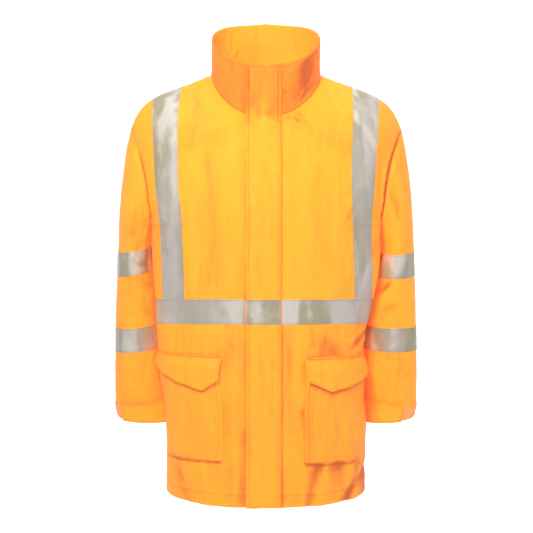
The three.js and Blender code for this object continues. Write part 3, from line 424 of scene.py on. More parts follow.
def body_point(face: int, side: int, s: np.ndarray, v: np.ndarray) -> np.ndarray:
    """Find points of a body panel, as the CAD has them.

    Args:
        face: -1 for a front, 1 for a back.
        side: 1 for the wearer's left, -1 for the right.
        s: From the middle (0) to the side (1).
        v: From the hem (0) by the armpit (1) to the shoulder seam (2).

    Returns:
        The points in millimetres.
    """
    s, v = np.broadcast_arrays(s, v)
    middle = side * ZIP_WIDTH / 2 if face < 0 else 0.0
    z = HEM_Z + (ARMPIT_Z - HEM_Z) * np.minimum(v, 1)
    section = np.moveaxis(SECTIONS(z), -1, 0)
    low_start = stack(middle, section[2] if face < 0 else section[3], z)
    low_end = side_seam(z, side)
    u = np.clip(v - 1, 0, 1)
    begin, neck_z = (FRONT_NECK_START, NECK_FRONT_Z) if face < 0 else (BACK_NECK_START, NECK_BACK_Z)
    rise = ARMPIT_Z + (neck_z - ARMPIT_Z) * np.minimum(u / begin, 1)
    centre = stack(middle, CENTRE[face](rise)[..., 0], rise)
    first = ZIP_ANGLE if face < 0 else 180.0
    angle = first + (SHOULDER_NECK_ANGLE - first) * np.clip((u - begin) / (1 - begin), 0, 1)
    high_start = np.where((u <= begin)[..., None], centre, neckline(angle, side))
    high_end = armhole(0.5 * (1 - u) if face < 0 else 0.5 + 0.5 * u, side)
    yoke = np.moveaxis(YOKE[face](u), -1, 0)
    low = v <= 1
    start = np.where(low[..., None], low_start, high_start)
    end = np.where(low[..., None], low_end, high_end)
    wrap = np.where(low, SIDE_SEAM_ANGLE if face < 0 else 180 - SIDE_SEAM_ANGLE, yoke[0])
    square = np.where(low, section[4], yoke[1])
    bulge, late = np.where(low, 0, yoke[2]), np.where(low, 0, yoke[3])
    here, limit = arc(wrap * s, square), arc(wrap, square)
    across, deep = here[0] / limit[0], (here[1] - limit[1]) / (1 - limit[1])
    fall = across + (across**ROUND_POWER - across) * late
    x = start[..., 0] + (end[..., 0] - start[..., 0]) * across
    z = start[..., 2] + (end[..., 2] - start[..., 2]) * fall
    fade = np.minimum(1, 6 * (1 - s)) * np.minimum(1, 5 * (2 - v))
    if face < 0:
        fade = fade * np.minimum(1, 6 * s)
    folds = relief(FOLDS[face], x, z) * fade * np.maximum(0, deep)
    y = end[..., 1] + (start[..., 1] - end[..., 1]) * deep + face * (bulge * np.sin(np.pi * s) + folds)
    return stack(x, y, z)


def body_reach(y: np.ndarray, z: np.ndarray, side: int) -> np.ndarray:
    """Find how far the body reaches sideways.

    Args:
        y: Places from front to back.
        z: Heights.
        side: 1 for the wearer's left, -1 for the right.

    Returns:
        Millimetres from the middle.
    """
    half, lean, front, back, square = np.moveaxis(SECTIONS(np.clip(z, HEM_Z, ARMPIT_Z)), -1, 0)
    inside = np.maximum(0, 1 - (np.abs(y) / np.abs(np.where(y < 0, front, back))) ** square)
    return half * inside ** (1 / square) + side * lean


def sleeve_point(side: int, t: np.ndarray, w: np.ndarray) -> np.ndarray:
    """Find points of a sleeve, as the CAD has them but with a fuller cuff.

    Args:
        side: 1 for the wearer's left, -1 for the right.
        t: Round the sleeve from its outer line (0) by the front (0.25).
        w: From the armhole (0) to the cuff (1).

    Returns:
        The points in millimetres.
    """
    t, w = np.broadcast_arrays(t, w)
    outer_x, outer_z, inner_x, inner_z, middle, half, tuck = np.moveaxis(SLEEVE(w), -1, 0)
    out, forward = np.cos(2 * np.pi * t), np.sin(2 * np.pi * t)
    inner_x = inner_x - SLEEVE_SLIM * grow(w - SLEEVE_SLIM_START, SLEEVE_SLIM_LENGTH)
    if side > 0:
        inner_x = inner_x - tuck
    mix = (1 + out) / 2
    across = inner_x + (outer_x - inner_x) * mix
    own = stack(side * across, middle - half * forward, inner_z + (outer_z - inner_z) * mix)
    f = grow(w, SLEEVE_BLEND)
    point = armhole(t, side)
    point = point + (own - point) * (f * f * (3 - 2 * f))[..., None]
    height = relief(SLEEVE_FOLDS, t, w, NO_WRAP)
    point = point + stack(side * height * out, -height * forward, 0 * height)
    reach = body_reach(point[..., 1], point[..., 2], side) + SLEEVE_CLEARANCE * grow(w, 0.1)
    near = (w > 0) & (point[..., 2] < ARMPIT_Z) & (side * point[..., 0] < reach)
    point[..., 0] = np.where(near, side * reach, point[..., 0])
    return point


def collar_point(angle: np.ndarray, h: np.ndarray) -> np.ndarray:
    """Find points of the collar, as the CAD has them.

    Args:
        angle: Degrees round the neck from the front middle.
        h: From the neckline (0) to the top (1).

    Returns:
        The points in millimetres.
    """
    angle, h = np.broadcast_arrays(angle, h)
    own = np.where(angle <= 180, angle, 360 - angle)
    base = neckline(own, np.where(angle <= 180, 1, -1))
    top = COLLAR(own)[..., 1]
    return stack(base[..., 0], base[..., 1] + COLLAR_TOP_SHIFT * h, base[..., 2] + (top - base[..., 2]) * h)


def ripple(a: np.ndarray, b: np.ndarray, pitch: float, seed: float) -> np.ndarray:
    """Make the slow unevenness of hanging cloth.

    Args:
        a: Millimetres across the cloth.
        b: Millimetres along it.
        pitch: The usual distance between waves.
        seed: Moves the waves.

    Returns:
        Heights from about -1 to 1.
    """
    total = np.zeros(np.broadcast(a, b).shape)
    for k in range(6):
        turn = seed * 2.3 + k * 2.4
        across = (0.6 + 0.23 * k) * 2 * np.pi / pitch
        along = across * 0.34 * math.cos(turn * 1.7)
        bend = 0.9 * np.sin(b * across * 0.31 + turn)
        total = total + np.sin(a * across + b * along + bend + turn * 3.1) / (1 + 0.55 * k)
    return total / 2.6


class Patch:
    """A fine grid of points on the outside of a piece of cloth."""

    def __init__(self, columns: np.ndarray, rows: np.ndarray, point: Callable[..., np.ndarray],
                 outward: float, closed: bool = False) -> None:
        """Lay the grid.

        Args:
            columns: Places across the piece.
            rows: Places along it.
            point: Gives the points at places.
            outward: The sign that turns the normals out.
            closed: Whether the last column meets the first.
        """
        self.columns, self.rows, self.closed, self.outward = columns, rows, closed, outward
        self.points = point(columns[:, None], rows[None, :])
        # Painted shade: the creases' heights and darker marks, which the finishes paint as shade, darker the
        # more negative
        self.cavity = np.zeros(self.points.shape[:2])
        self.measure()
        self.calm = self.normals

    def measure(self) -> None:
        """Find the normals and the lengths along the grid."""
        p = self.points
        if self.closed:
            across = np.roll(p, -1, 0) - np.roll(p, 1, 0)
        else:
            across = np.gradient(p, axis=0)
        normal = np.cross(across, np.gradient(p, axis=1)) * self.outward
        self.normals = normal / np.maximum(np.linalg.norm(normal, axis=-1, keepdims=True), 1e-9)
        step = np.linalg.norm(np.diff(p, axis=0), axis=-1)
        self.u = np.concatenate([np.zeros((1, p.shape[1])), np.cumsum(step, axis=0)])
        step = np.linalg.norm(np.diff(p, axis=1), axis=-1)
        self.v = np.concatenate([np.zeros((p.shape[0], 1)), np.cumsum(step, axis=1)], axis=1)

    def raise_by(self, height: np.ndarray) -> None:
        """Move the points out along their normals.

        Args:
            height: Millimetres out at each point.
        """
        self.calm = self.normals
        self.points = self.points + self.normals * height[..., None]
        # The crease heights also go into the painted shade
        self.cavity = self.cavity + height
        self.measure()

    def at(self, column: np.ndarray, row: np.ndarray, calm: bool = False) -> tuple[np.ndarray, np.ndarray]:
        """Find points between the grid's own.

        Args:
            column: Places across.
            row: Places along.
            calm: Whether the normals are those from before the cloth was creased.

        Returns:
            The points and their normals.
        """
        column, row = np.broadcast_arrays(np.asarray(column, float), np.asarray(row, float))
        points, normals, columns = self.points, self.calm if calm else self.normals, self.columns
        if self.closed:
            points = np.concatenate([points, points[:1]])
            normals = np.concatenate([normals, normals[:1]])
            columns = np.append(columns, columns[0] + 1)
            column = (column - columns[0]) % 1 + columns[0]
        i = np.interp(column, columns, np.arange(len(columns)))
        j = np.interp(row, self.rows, np.arange(len(self.rows)))
        i0 = np.clip(i.astype(int), 0, len(columns) - 2)
        j0 = np.clip(j.astype(int), 0, len(self.rows) - 2)
        a, b = (i - i0)[..., None], (j - j0)[..., None]

        def mix(grid: np.ndarray) -> np.ndarray:
            """Blend the four values round each place.

            Args:
                grid: The values on the grid.

            Returns:
                The values at the places.
            """
            low = grid[i0, j0] * (1 - a) + grid[i0 + 1, j0] * a
            high = grid[i0, j0 + 1] * (1 - a) + grid[i0 + 1, j0 + 1] * a
            return low * (1 - b) + high * b

        normal = mix(normals)
        return mix(points), normal / np.linalg.norm(normal, axis=-1, keepdims=True)

    def lifted(self, column: np.ndarray, row: np.ndarray, lift: np.ndarray | float = CLOTH_STITCH,
               calm: bool = False) -> np.ndarray:
        """Find points at a height over the cloth."""
        point, normal = self.at(column, row, calm)
        return point + normal * np.asarray(lift, float)[..., None]

    def column_at_width(self, row: np.ndarray, x: np.ndarray, last: float = 1.0) -> np.ndarray:
        """Find the columns where the cloth is a distance from the middle.

        Args:
            row: Places along the piece.
            x: Millimetres from the middle.
            last: The last column to look at.

        Returns:
            The columns.
        """
        row, x = np.broadcast_arrays(np.asarray(row, float), np.asarray(x, float))
        ends = np.zeros(row.shape), np.full(row.shape, last)
        return solve(lambda s: np.abs(self.at(s, row)[0][..., 0]) - x, *ends)

    def row_at_height(self, column: np.ndarray, z: np.ndarray, low: float, high: float) -> np.ndarray:
        """Find the rows where the cloth has a height, on a piece whose rows run down.

        Args:
            column: Places across the piece.
            z: Heights.
            low: The first row to look at.
            high: The last row to look at.

        Returns:
            The rows.
        """
        column, z = np.broadcast_arrays(np.asarray(column, float), np.asarray(z, float))
        ends = np.full(z.shape, low), np.full(z.shape, high)
        return solve(lambda w: z - self.at(column, w)[0][..., 2], *ends)


def solve(miss: Callable[[np.ndarray], np.ndarray], low: np.ndarray, high: np.ndarray) -> np.ndarray:
    """Find where a rising function passes zero.

    Args:
        miss: The function.
        low: Where to start.
        high: Where to end.

    Returns:
        The places.
    """
    for _ in range(26):
        middle = (low + high) / 2
        under = miss(middle) < 0
        low, high = np.where(under, middle, low), np.where(under, high, middle)
    return (low + high) / 2


def eased(count: int) -> np.ndarray:
    """Space values from 0 to 1, closer at both ends."""
    return (1 - np.cos(np.pi * spread(count))) / 2


def spread(count: int, low: float = 0.0, high: float = 1.0) -> np.ndarray:
    """Space values evenly."""
    return np.linspace(low, high, count + 1)


# A rolled edge loses this share of its thickness on each face, over this width
ROLL_SHARE, ROLL_WIDTH = 0.45, 1.2
SHARP_ANGLE = 50.0


def shell(name: str, patch: Patch, material: bpy.types.Material, thickness: float,
          lining: bpy.types.Material | None = None, rolled: bool = False) -> bpy.types.Object:
    """Give a patch a thickness and make it an object.

    Args:
        name: The object's name.
        patch: The grid, in millimetres.
        material: The outside's finish.
        thickness: Millimetres of cloth, which lie inside the patch.
        lining: The inside's finish, or None for the same.
        rolled: Whether the edges turn in a little.

    Returns:
        The object.
    """
    count, rows = patch.points.shape[:2]
    drop = np.zeros((count, rows))
    if rolled:
        edges = [patch.v, patch.v[:, -1:] - patch.v]
        if not patch.closed:
            edges += [patch.u, patch.u[-1:] - patch.u]
        drop = ROLL_SHARE * thickness * np.maximum.reduce([near(edge, ROLL_WIDTH) for edge in edges])
    outer = patch.points - patch.normals * drop[..., None]
    inner = patch.points - patch.normals * (thickness - drop)[..., None]
    grid = np.arange(count * rows).reshape(count, rows)
    if patch.closed:
        grid = np.concatenate([grid, grid[:1]])
    a, b, c, d = grid[:-1, :-1], grid[1:, :-1], grid[1:, 1:], grid[:-1, 1:]
    n = count * rows
    top = np.stack([a, b, c, d], -1).reshape(-1, 4)
    faces = [top, top[:, ::-1] + n]
    ends = [(grid[:-1, 0], grid[1:, 0]), (grid[1:, -1], grid[:-1, -1])]
    if not patch.closed:
        ends += [(grid[0, 1:], grid[0, :-1]), (grid[-1, :-1], grid[-1, 1:])]
    for p, q in ends:
        faces.append(np.stack([p + n, q + n, q, p], -1))
    quads = np.concatenate(faces)
    if patch.outward < 0:
        quads = quads[:, ::-1]
    mesh = bpy.data.meshes.new(name)
    vertices = np.concatenate([outer.reshape(-1, 3), inner.reshape(-1, 3)]) * MM
    mesh.from_pydata(vertices.tolist(), [], quads.tolist())
    uv = np.stack([patch.u, patch.v], -1).reshape(-1, 2) * MM
    uv = np.concatenate([uv, uv])
    layer = mesh.uv_layers.new(name="cloth")
    layer.data.foreach_set("uv", uv[quads.reshape(-1)].reshape(-1))
    # The painted shade goes on the outside only; the inside gets none
    cavity = mesh.attributes.new("cavity", "FLOAT", "POINT")
    depth = patch.cavity.reshape(-1)
    cavity.data.foreach_set("value", np.concatenate([depth, 0 * depth]))
    mesh.materials.append(material)
    if lining is not None:
        mesh.materials.append(lining)
        index = np.zeros(len(quads), int)
        index[len(top):2 * len(top)] = 1
        mesh.polygons.foreach_set("material_index", index)
    mesh.shade_smooth()
    mesh.set_sharp_from_angle(angle=math.radians(SHARP_ANGLE))
    piece = bpy.data.objects.new(name, mesh)
    bpy.context.scene.collection.objects.link(piece)
    return piece


class Socket:
    """A value in a shader tree, with arithmetic."""

    def __init__(self, tree: "Tree", output: bpy.types.NodeSocket) -> None:
        """Wrap an output."""
        self.tree, self.output = tree, output

    def math(self, operation: str, *others: "Socket | float", swap: bool = False) -> "Socket":
        """Add a math node.

        Args:
            operation: Blender's name of the operation.
            others: The other operands.
            swap: Whether the first other comes before this value.

        Returns:
            The result.
        """
        operands = [self, *others]
        if swap:
            operands[0], operands[1] = operands[1], operands[0]
        return self.tree.node("ShaderNodeMath", {"operation": operation}, dict(enumerate(operands)))

    def __add__(self, other: "Socket | float") -> "Socket":
        """Add."""
        return self.math("ADD", other)

    def __radd__(self, other: float) -> "Socket":
        """Add to a number."""
        return self.math("ADD", other)

    def __sub__(self, other: "Socket | float") -> "Socket":
        """Subtract."""
        return self.math("SUBTRACT", other)

    def __rsub__(self, other: float) -> "Socket":
        """Subtract from a number."""
        return self.math("SUBTRACT", other, swap=True)

    def __mul__(self, other: "Socket | float") -> "Socket":
        """Multiply."""
        return self.math("MULTIPLY", other)

    def __rmul__(self, other: float) -> "Socket":
        """Multiply a number."""
        return self.math("MULTIPLY", other)

    def ramp(self, low: float, high: float) -> "Socket":
        """Spread a range over 0 to 1, smoothly."""
        inputs = {"Value": self, "From Min": low, "From Max": high}
        return self.tree.node("ShaderNodeMapRange", {"interpolation_type": "SMOOTHSTEP"}, inputs)


class Tree:
    """A material's node tree."""

    def __init__(self, name: str) -> None:
        """Start an empty material.

        Args:
            name: The material's name.
        """
        self.material = bpy.data.materials.new(name)
        self.material.use_nodes = True
        self.nodes = self.material.node_tree.nodes
        self.nodes.clear()

    def node(self, kind: str, settings: dict | None = None, inputs: dict | None = None,
             output: int | str = 0) -> Socket:
        """Add any node.

        Args:
            kind: Blender's type name.
            settings: Properties, set first.
            inputs: Values or links by input name or number.
            output: Which output to return.

        Returns:
            The output.
        """
        node = self.nodes.new(kind)
        for key, value in (settings or {}).items():
            setattr(node, key, value)
        for key, value in (inputs or {}).items():
            if isinstance(value, Socket):
                self.material.node_tree.links.new(value.output, node.inputs[key])
            else:
                node.inputs[key].default_value = value
        return Socket(self, node.outputs[output])

    def noise(self, place: Socket, scale: float, detail: float = 2.0) -> Socket:
        """Add a noise texture."""
        return self.node("ShaderNodeTexNoise", {}, {"Vector": place, "Scale": scale, "Detail": detail})

    def stretched(self, place: Socket, scale: tuple[float, float, float]) -> Socket:
        """Scale coordinates."""
        return self.node("ShaderNodeMapping", {}, {"Vector": place, "Scale": scale})

    def blend(self, factor: Socket, low: Sequence[float] | Socket, high: Sequence[float] | Socket) -> Socket:
        """Mix two colours."""
        return self.node("ShaderNodeMix", {"data_type": "RGBA"}, {"Factor": factor, 6: low, 7: high}, 2)

    def close(self, inputs: dict, height: Socket, distance: float) -> bpy.types.Material:
        """Join everything to the surface.

        Args:
            inputs: The surface shader's inputs.
            height: The bump's height.
            distance: Metres that a height of 1 stands out.

        Returns:
            The material.
        """
        bump = self.node("ShaderNodeBump", {}, {"Height": height, "Distance": distance, "Strength": 1.0})
        surface = self.node("ShaderNodeBsdfPrincipled", {}, {**inputs, "Normal": bump})
        output = self.nodes.new("ShaderNodeOutputMaterial")
        self.material.node_tree.links.new(surface.output, output.inputs["Surface"])
        return self.material


Colour = tuple[float, float, float, float]
Scale = tuple[float, float, float]


@dataclass(frozen=True)
class ClothFinish:
    """Coated woven cloth in a bright colour.

    The glow is a steady painted glow, standing in for the light that a fluorescent dye gives back, and it
    lifts the shade. The lit and shade colours are mixed by random tone and painted shade, and the deep
    colour is painted shade in seams and under edges. The weave is metres from thread to thread, and the
    other scales are cycles in a metre. The bump is in metres.
    """

    name: str
    lit: Colour
    shade: Colour
    glow: Colour
    # Painted shade colour for seams and under edges
    deep: Colour = (0.42, 0.085, 0.006, 1)
    weave: float = 0.0009
    roughness: float = 0.62
    slub_scale: Scale = (900, 900, 60)
    streak_scale: Scale = (60, 60, 5)
    crinkle_scale: Scale = (110, 110, 15)
    cloud_scale: float = 7.0
    crumple_scale: float = 70.0
    bump: float = 0.0011

    def material(self) -> bpy.types.Material:
        """Build the material.

        Returns:
            The material.
        """
        tree = Tree(self.name)
        place = tree.node("ShaderNodeTexCoord", output="Object")
        thread = tree.node("ShaderNodeUVMap", {"uv_map": "cloth"})
        u = tree.node("ShaderNodeSeparateXYZ", {}, {0: thread}, 0)
        v = tree.node("ShaderNodeSeparateXYZ", {}, {0: thread}, 1)
        turns = 2 * math.pi / self.weave
        warp = (u * turns).math("SINE")
        weft = (v * turns).math("SINE")
        weave = warp * weft
        slub = tree.noise(tree.stretched(place, self.slub_scale), 1.0, 2)
        streak = tree.noise(tree.stretched(place, self.streak_scale), 1.0, 3)
        cloud = tree.noise(place, self.cloud_scale, 3)
        crumple = tree.noise(place, self.crumple_scale, 4)
        cavity = tree.node("ShaderNodeAttribute", {"attribute_name": "cavity"}, output="Fac")
        crinkle = tree.noise(tree.stretched(place, self.crinkle_scale), 1.0, 4)
        # Random tone, darkened by the painted shade
        light = 0.34 * streak + 0.4 * cloud + 0.4 * crinkle + 0.2 * slub + 0.08 * cavity + 0.17
        tone = light.ramp(0.25, 1.0)
        colour = tree.blend(tone, self.shade, self.lit)
        # Painted shade: the deep colour where the painted shade is darkest
        colour = tree.blend((cavity + crinkle * 2).ramp(-6.0, -0.5), self.deep, colour)
        rough = self.roughness + 0.14 * crumple - 0.05 * weave
        height = 0.05 * weave + 0.05 * slub + 0.55 * crumple + 0.9 * crinkle
        # The glow is a steady painted glow over the whole cloth
        inputs = {
            "Base Color": colour, "Roughness": rough, "Emission Color": self.glow, "Emission Strength": 1.0,
            "Sheen Weight": 0.05, "Sheen Roughness": 0.5, "Specular IOR Level": 0.3,
        }
        return tree.close(inputs, height, self.bump)


@dataclass(frozen=True)
class TapeFinish:
    """Silver tape covered in fine glass beads, with soft painted bands of highlight and shade.

    The lilac is a painted reflection. Scales are cycles in a metre.
    """

    name: str
    # The painted highlight band, the painted shade band and the painted lilac reflection
    bright: Colour
    dull: Colour
    lilac: Colour
    bead_scale: float = 1600.0
    band_scale: Scale = (24, 24, 3)
    wide_scale: Scale = (13, 13, 5)
    scuff_scale: Scale = (160, 160, 40)
    cloud_scale: float = 30.0
    bump: float = 0.0006

    def material(self) -> bpy.types.Material:
        """Build the material.

        Returns:
            The material.
        """
        tree = Tree(self.name)
        place = tree.node("ShaderNodeTexCoord", output="Object")
        thread = tree.node("ShaderNodeUVMap", {"uv_map": "cloth"})
        beads = tree.node("ShaderNodeTexVoronoi", {}, {"Vector": thread, "Scale": self.bead_scale})
        band = tree.noise(tree.stretched(place, self.band_scale), 1.0, 1)
        wide = tree.noise(tree.stretched(place, self.wide_scale), 1.0, 1)
        cloud = tree.noise(place, self.cloud_scale, 3)
        scuff = tree.noise(tree.stretched(place, self.scuff_scale), 1.0, 3)
        cavity = tree.node("ShaderNodeAttribute", {"attribute_name": "cavity"}, output="Fac")
        # Painted highlight and shade bands, darkened by the painted shade, then patches of painted lilac
        # reflection
        tone = (0.8 * band + 0.2 * cloud + 0.1 * scuff + 0.05 * cavity).ramp(0.48, 0.62)
        colour = tree.blend(tone, self.dull, self.bright)
        colour = tree.blend(wide.ramp(0.47, 0.6) * 0.6, colour, self.lilac)
        rough = 0.5 + 0.12 * scuff + 0.08 * beads
        height = 0.12 * beads + 0.25 * cloud + 0.2 * scuff
        inputs = {"Base Color": colour, "Roughness": rough, "Metallic": 0.1 + 0.12 * tone,
                  "Coat Weight": 0.06}
        return tree.close(inputs, height, self.bump)


@dataclass(frozen=True)
class FuzzFinish:
    """Small fibres: thread, loop patches and the zip's woven tape."""

    name: str
    colour: Colour
    dark: Colour
    grain: float
    depth: float
    # A steady painted glow, standing in for the fluorescent dye's light, which lifts the shade
    glow: Colour = (0, 0, 0, 1)

    def material(self) -> bpy.types.Material:
        """Build the material.

        Returns:
            The material.
        """
        tree = Tree(self.name)
        place = tree.node("ShaderNodeTexCoord", output="Object")
        fibre = tree.noise(place, self.grain, 3)
        pile = tree.node("ShaderNodeTexVoronoi", {}, {"Vector": place, "Scale": self.grain})
        colour = tree.blend((0.6 * fibre + 0.5 * pile).ramp(0.2, 0.8), self.dark, self.colour)
        inputs = {
            "Base Color": colour, "Roughness": 0.8 + 0.15 * fibre, "Emission Color": self.glow,
            "Emission Strength": 1.0, "Sheen Weight": 0.1,
        }
        return tree.close(inputs, fibre + pile, self.depth)


# Stitches: the smallest and the largest scale, share of the pitch, radius and usual pitch
STITCH_SIZES, STITCH_SHARE, STITCH_RADIUS, STITCH_PITCH = (0.88, 1.1), 0.72, 0.33, 3.2


class Stitching:
    """Runs of thread, collected as lines and sewn by one node group."""

    def __init__(self, thread: bpy.types.Material) -> None:
        """Start with no lines."""
        self.thread = thread
        self.group = self.build_group()

    def build_group(self) -> bpy.types.GeometryNodeTree:
        """Make the node group that lays a stitch at each step of a line.

        Returns:
            The group.
        """
        group = bpy.data.node_groups.new("Stitches", "GeometryNodeTree")
        inputs = {"Geometry": "Geometry", "Pitch": "Float", "Length": "Float", "Radius": "Float",
                  "Seed": "Int", "Thread": "Material"}
        for name, kind in inputs.items():
            group.interface.new_socket(name, in_out="INPUT", socket_type=f"NodeSocket{kind}")
        group.interface.new_socket("Geometry", in_out="OUTPUT", socket_type="NodeSocketGeometry")

        def add(kind: str, settings: dict | None = None, **inputs: object) -> bpy.types.Node:
            """Add any node, with settings first and then values or links by input name.

            Args:
                kind: Blender's type name.
                settings: Properties.
                inputs: Values or links, with _ for a space in an input's name.

            Returns:
                The node.
            """
            node = group.nodes.new(kind)
            for key, value in (settings or {}).items():
                setattr(node, key, value)
            for key, value in inputs.items():
                socket = node.inputs[key.replace("_", " ")]
                if isinstance(value, bpy.types.NodeSocket):
                    group.links.new(value, socket)
                else:
                    socket.default_value = value
            return node

        given = add("NodeGroupInput").outputs
        line = add("GeometryNodeMeshToCurve", Mesh=given["Geometry"])
        steps = add("GeometryNodeCurveToPoints", {"mode": "LENGTH"}, Curve=line.outputs["Curve"],
                    Length=given["Pitch"])
        stitch = add("GeometryNodeMeshCylinder", {"fill_type": "NONE"}, Vertices=5, Radius=given["Radius"],
                     Depth=given["Length"])
        size = add("FunctionNodeRandomValue", {"data_type": "FLOAT"}, Seed=given["Seed"])
        size.inputs[2].default_value, size.inputs[3].default_value = STITCH_SIZES
        points, turns = steps.outputs["Points"], steps.outputs["Rotation"]
        placed = add("GeometryNodeInstanceOnPoints", Points=points, Instance=stitch.outputs["Mesh"],
                     Rotation=turns, Scale=size.outputs[1])
        real = add("GeometryNodeRealizeInstances", Geometry=placed.outputs["Instances"])
        dressed = add("GeometryNodeSetMaterial", Geometry=real.outputs["Geometry"], Material=given["Thread"])
        group.links.new(dressed.outputs["Geometry"], add("NodeGroupOutput").inputs["Geometry"])
        return group

    def sew(self, name: str, lines: Sequence[np.ndarray], pitch: float, seed: int) -> bpy.types.Object:
        """Sew lines of stitches.

        Args:
            name: The piece's name.
            lines: Points of each line, in millimetres.
            pitch: Millimetres from one stitch to the next.
            seed: The seed of the stitches' small differences.

        Returns:
            The stitches as one object.
        """
        mesh = bpy.data.meshes.new(name)
        vertices = np.concatenate(lines) * MM
        edges, first = [], 0
        for line in lines:
            edges += [(k, k + 1) for k in range(first, first + len(line) - 1)]
            first += len(line)
        mesh.from_pydata(vertices.tolist(), edges, [])
        carrier = bpy.data.objects.new(name, mesh)
        bpy.context.scene.collection.objects.link(carrier)
        modifier = carrier.modifiers.new("Stitches", "NODES")
        modifier.node_group = self.group
        values = {"Pitch": pitch * MM, "Length": STITCH_SHARE * pitch * MM, "Radius": STITCH_RADIUS * MM,
                  "Seed": seed, "Thread": self.thread}
        for item in self.group.interface.items_tree:
            if item.in_out == "INPUT" and item.name in values:
                modifier[item.identifier] = values[item.name]
        return freeze(carrier)


def freeze(carrier: bpy.types.Object) -> bpy.types.Object:
    """Turn an object with a modifier into its plain result.

    Args:
        carrier: The object.

    Returns:
        The same object with the evaluated mesh and no modifier.
    """
    bpy.context.view_layer.update()
    graph = bpy.context.evaluated_depsgraph_get()
    result = bpy.data.meshes.new_from_object(carrier.evaluated_get(graph))
    carrier.modifiers.clear()
    old = carrier.data
    carrier.data = result
    result.name = carrier.name
    bpy.data.meshes.remove(old)
    result.shade_smooth()
    return carrier


class Hold(Enum):
    """How a sheet is held."""

    HUNG = "hung"
    LAID = "laid"


class Side(Enum):
    """The wearer's sides."""

    LEFT = 1
    RIGHT = -1

    @property
    def label(self) -> str:
        """Name the side as the nodes do."""
        return self.name.lower()


class Finish(Enum):
    """The finishes of the jacket and its threads."""

    # Each cloth: a lit colour, a shade colour and a steady painted glow
    CLOTH = ClothFinish("orange_cloth", (0.95, 0.5, 0.006, 1), (0.85, 0.3, 0.006, 1), (0.42, 0.08, 0.032, 1))
    LINING = ClothFinish("lining_cloth", (0.9, 0.36, 0.012, 1), (0.8, 0.26, 0.01, 1), (0.12, 0.02, 0.02, 1),
                         weave=0.0014, roughness=0.75)
    # The collar's cloth is a darker copy of the orange cloth: painted shade, as the collar leans from the
    # light
    COLLAR = ClothFinish("collar_cloth", (0.92, 0.29, 0.006, 1), (0.76, 0.16, 0.006, 1),
                         (0.42, 0.08, 0.032, 1))
    TAPE = TapeFinish("reflective_tape", (0.8, 0.75, 0.68, 1), (0.48, 0.43, 0.3, 1), (0.62, 0.56, 0.54, 1))
    LOOP = FuzzFinish("loop_patch", (0.95, 0.47, 0.1, 1), (0.85, 0.28, 0.04, 1), 900, 0.0008,
                      (0.42, 0.13, 0.06, 1))
    ZIP = FuzzFinish("zip_tape", (0.85, 0.35, 0.05, 1), (0.5, 0.16, 0.02, 1), 1400, 0.0003)
    THREAD = FuzzFinish("thread", (0.9, 0.34, 0.01, 1), (0.6, 0.16, 0.01, 1), 2500, 0.0002,
                        (0.3, 0.05, 0.02, 1))
    TAPE_THREAD = FuzzFinish("tape_thread", (0.5, 0.46, 0.38, 1), (0.36, 0.32, 0.25, 1), 2500, 0.0002)


@dataclass(frozen=True)
class Make:
    """How a kind of piece is made: the ends of its names, its slot (not used), cloth and thread."""

    suffix: str
    slot: str
    finish: Finish
    thickness: float
    hold: Hold = Hold.HUNG
    lining: Finish | None = None
    rolled: bool = False
    thread: Finish = Finish.THREAD
    seams: str = "seams"
    pitch: float = STITCH_PITCH


BODY_CLOTH = Make("cloth", "orange_cloth", Finish.CLOTH, 1.2, lining=Finish.LINING)
# The collar's outside wears the darker cloth, painted shade
COLLAR_CLOTH = Make("cloth", "orange_cloth", Finish.COLLAR, 2.2, lining=Finish.CLOTH, rolled=True)
STORM_CLOTH = Make("cloth", "orange_cloth", Finish.CLOTH, 2.0, rolled=True)
BAG_CLOTH = Make("cloth", "orange_cloth", Finish.CLOTH, 1.2)
FLAP_CLOTH = Make("cloth", "orange_cloth", Finish.CLOTH, 1.8, rolled=True)
STRAP_CLOTH = Make("cloth", "orange_cloth", Finish.CLOTH, 1.8, Hold.LAID, rolled=True)
SILVER_TAPE = Make("tape", "reflective_tape", Finish.TAPE, 0.5, Hold.LAID, thread=Finish.TAPE_THREAD)
ZIP_STRIP = Make("tape", "zip_tape", Finish.ZIP, 1.0, seams="teeth", pitch=2.4)
LOOP_PILE = Make("patch", "loop_patch", Finish.LOOP, 0.9, Hold.LAID)

# The flat cut of each piece: width, length and area in metres
CUTS = {
    "front": (0.34, 0.966, 0.262), "back": (0.318, 1.05, 0.245), "sleeve": (0.53, 0.617, 0.19),
    "collar": (0.7, 0.102, 0.06), "storm_flap": (0.077, 0.894, 0.0633), "front_zip": (0.012, 0.885, 0.0103),
    "tape_waist_front": (0.3, 0.05, 0.0149), "tape_waist_back": (0.272, 0.05, 0.0135),
    "tape_waist_flap": (0.071, 0.05, 0.0035), "tape_brace_front": (0.057, 0.464, 0.0264),
    "tape_brace_back": (0.056, 0.502, 0.0281), "tape_sleeve_upper": (0.377, 0.05, 0.0187),
    "tape_sleeve_lower": (0.386, 0.05, 0.0192), "pocket": (0.185, 0.218, 0.0385),
    "pocket_flap": (0.2, 0.073, 0.0111), "cuff_strap_left": (0.104, 0.05, 0.0045),
    "cuff_strap_right": (0.122, 0.051, 0.0052), "cuff_loop": (0.121, 0.029, 0.0034),
}


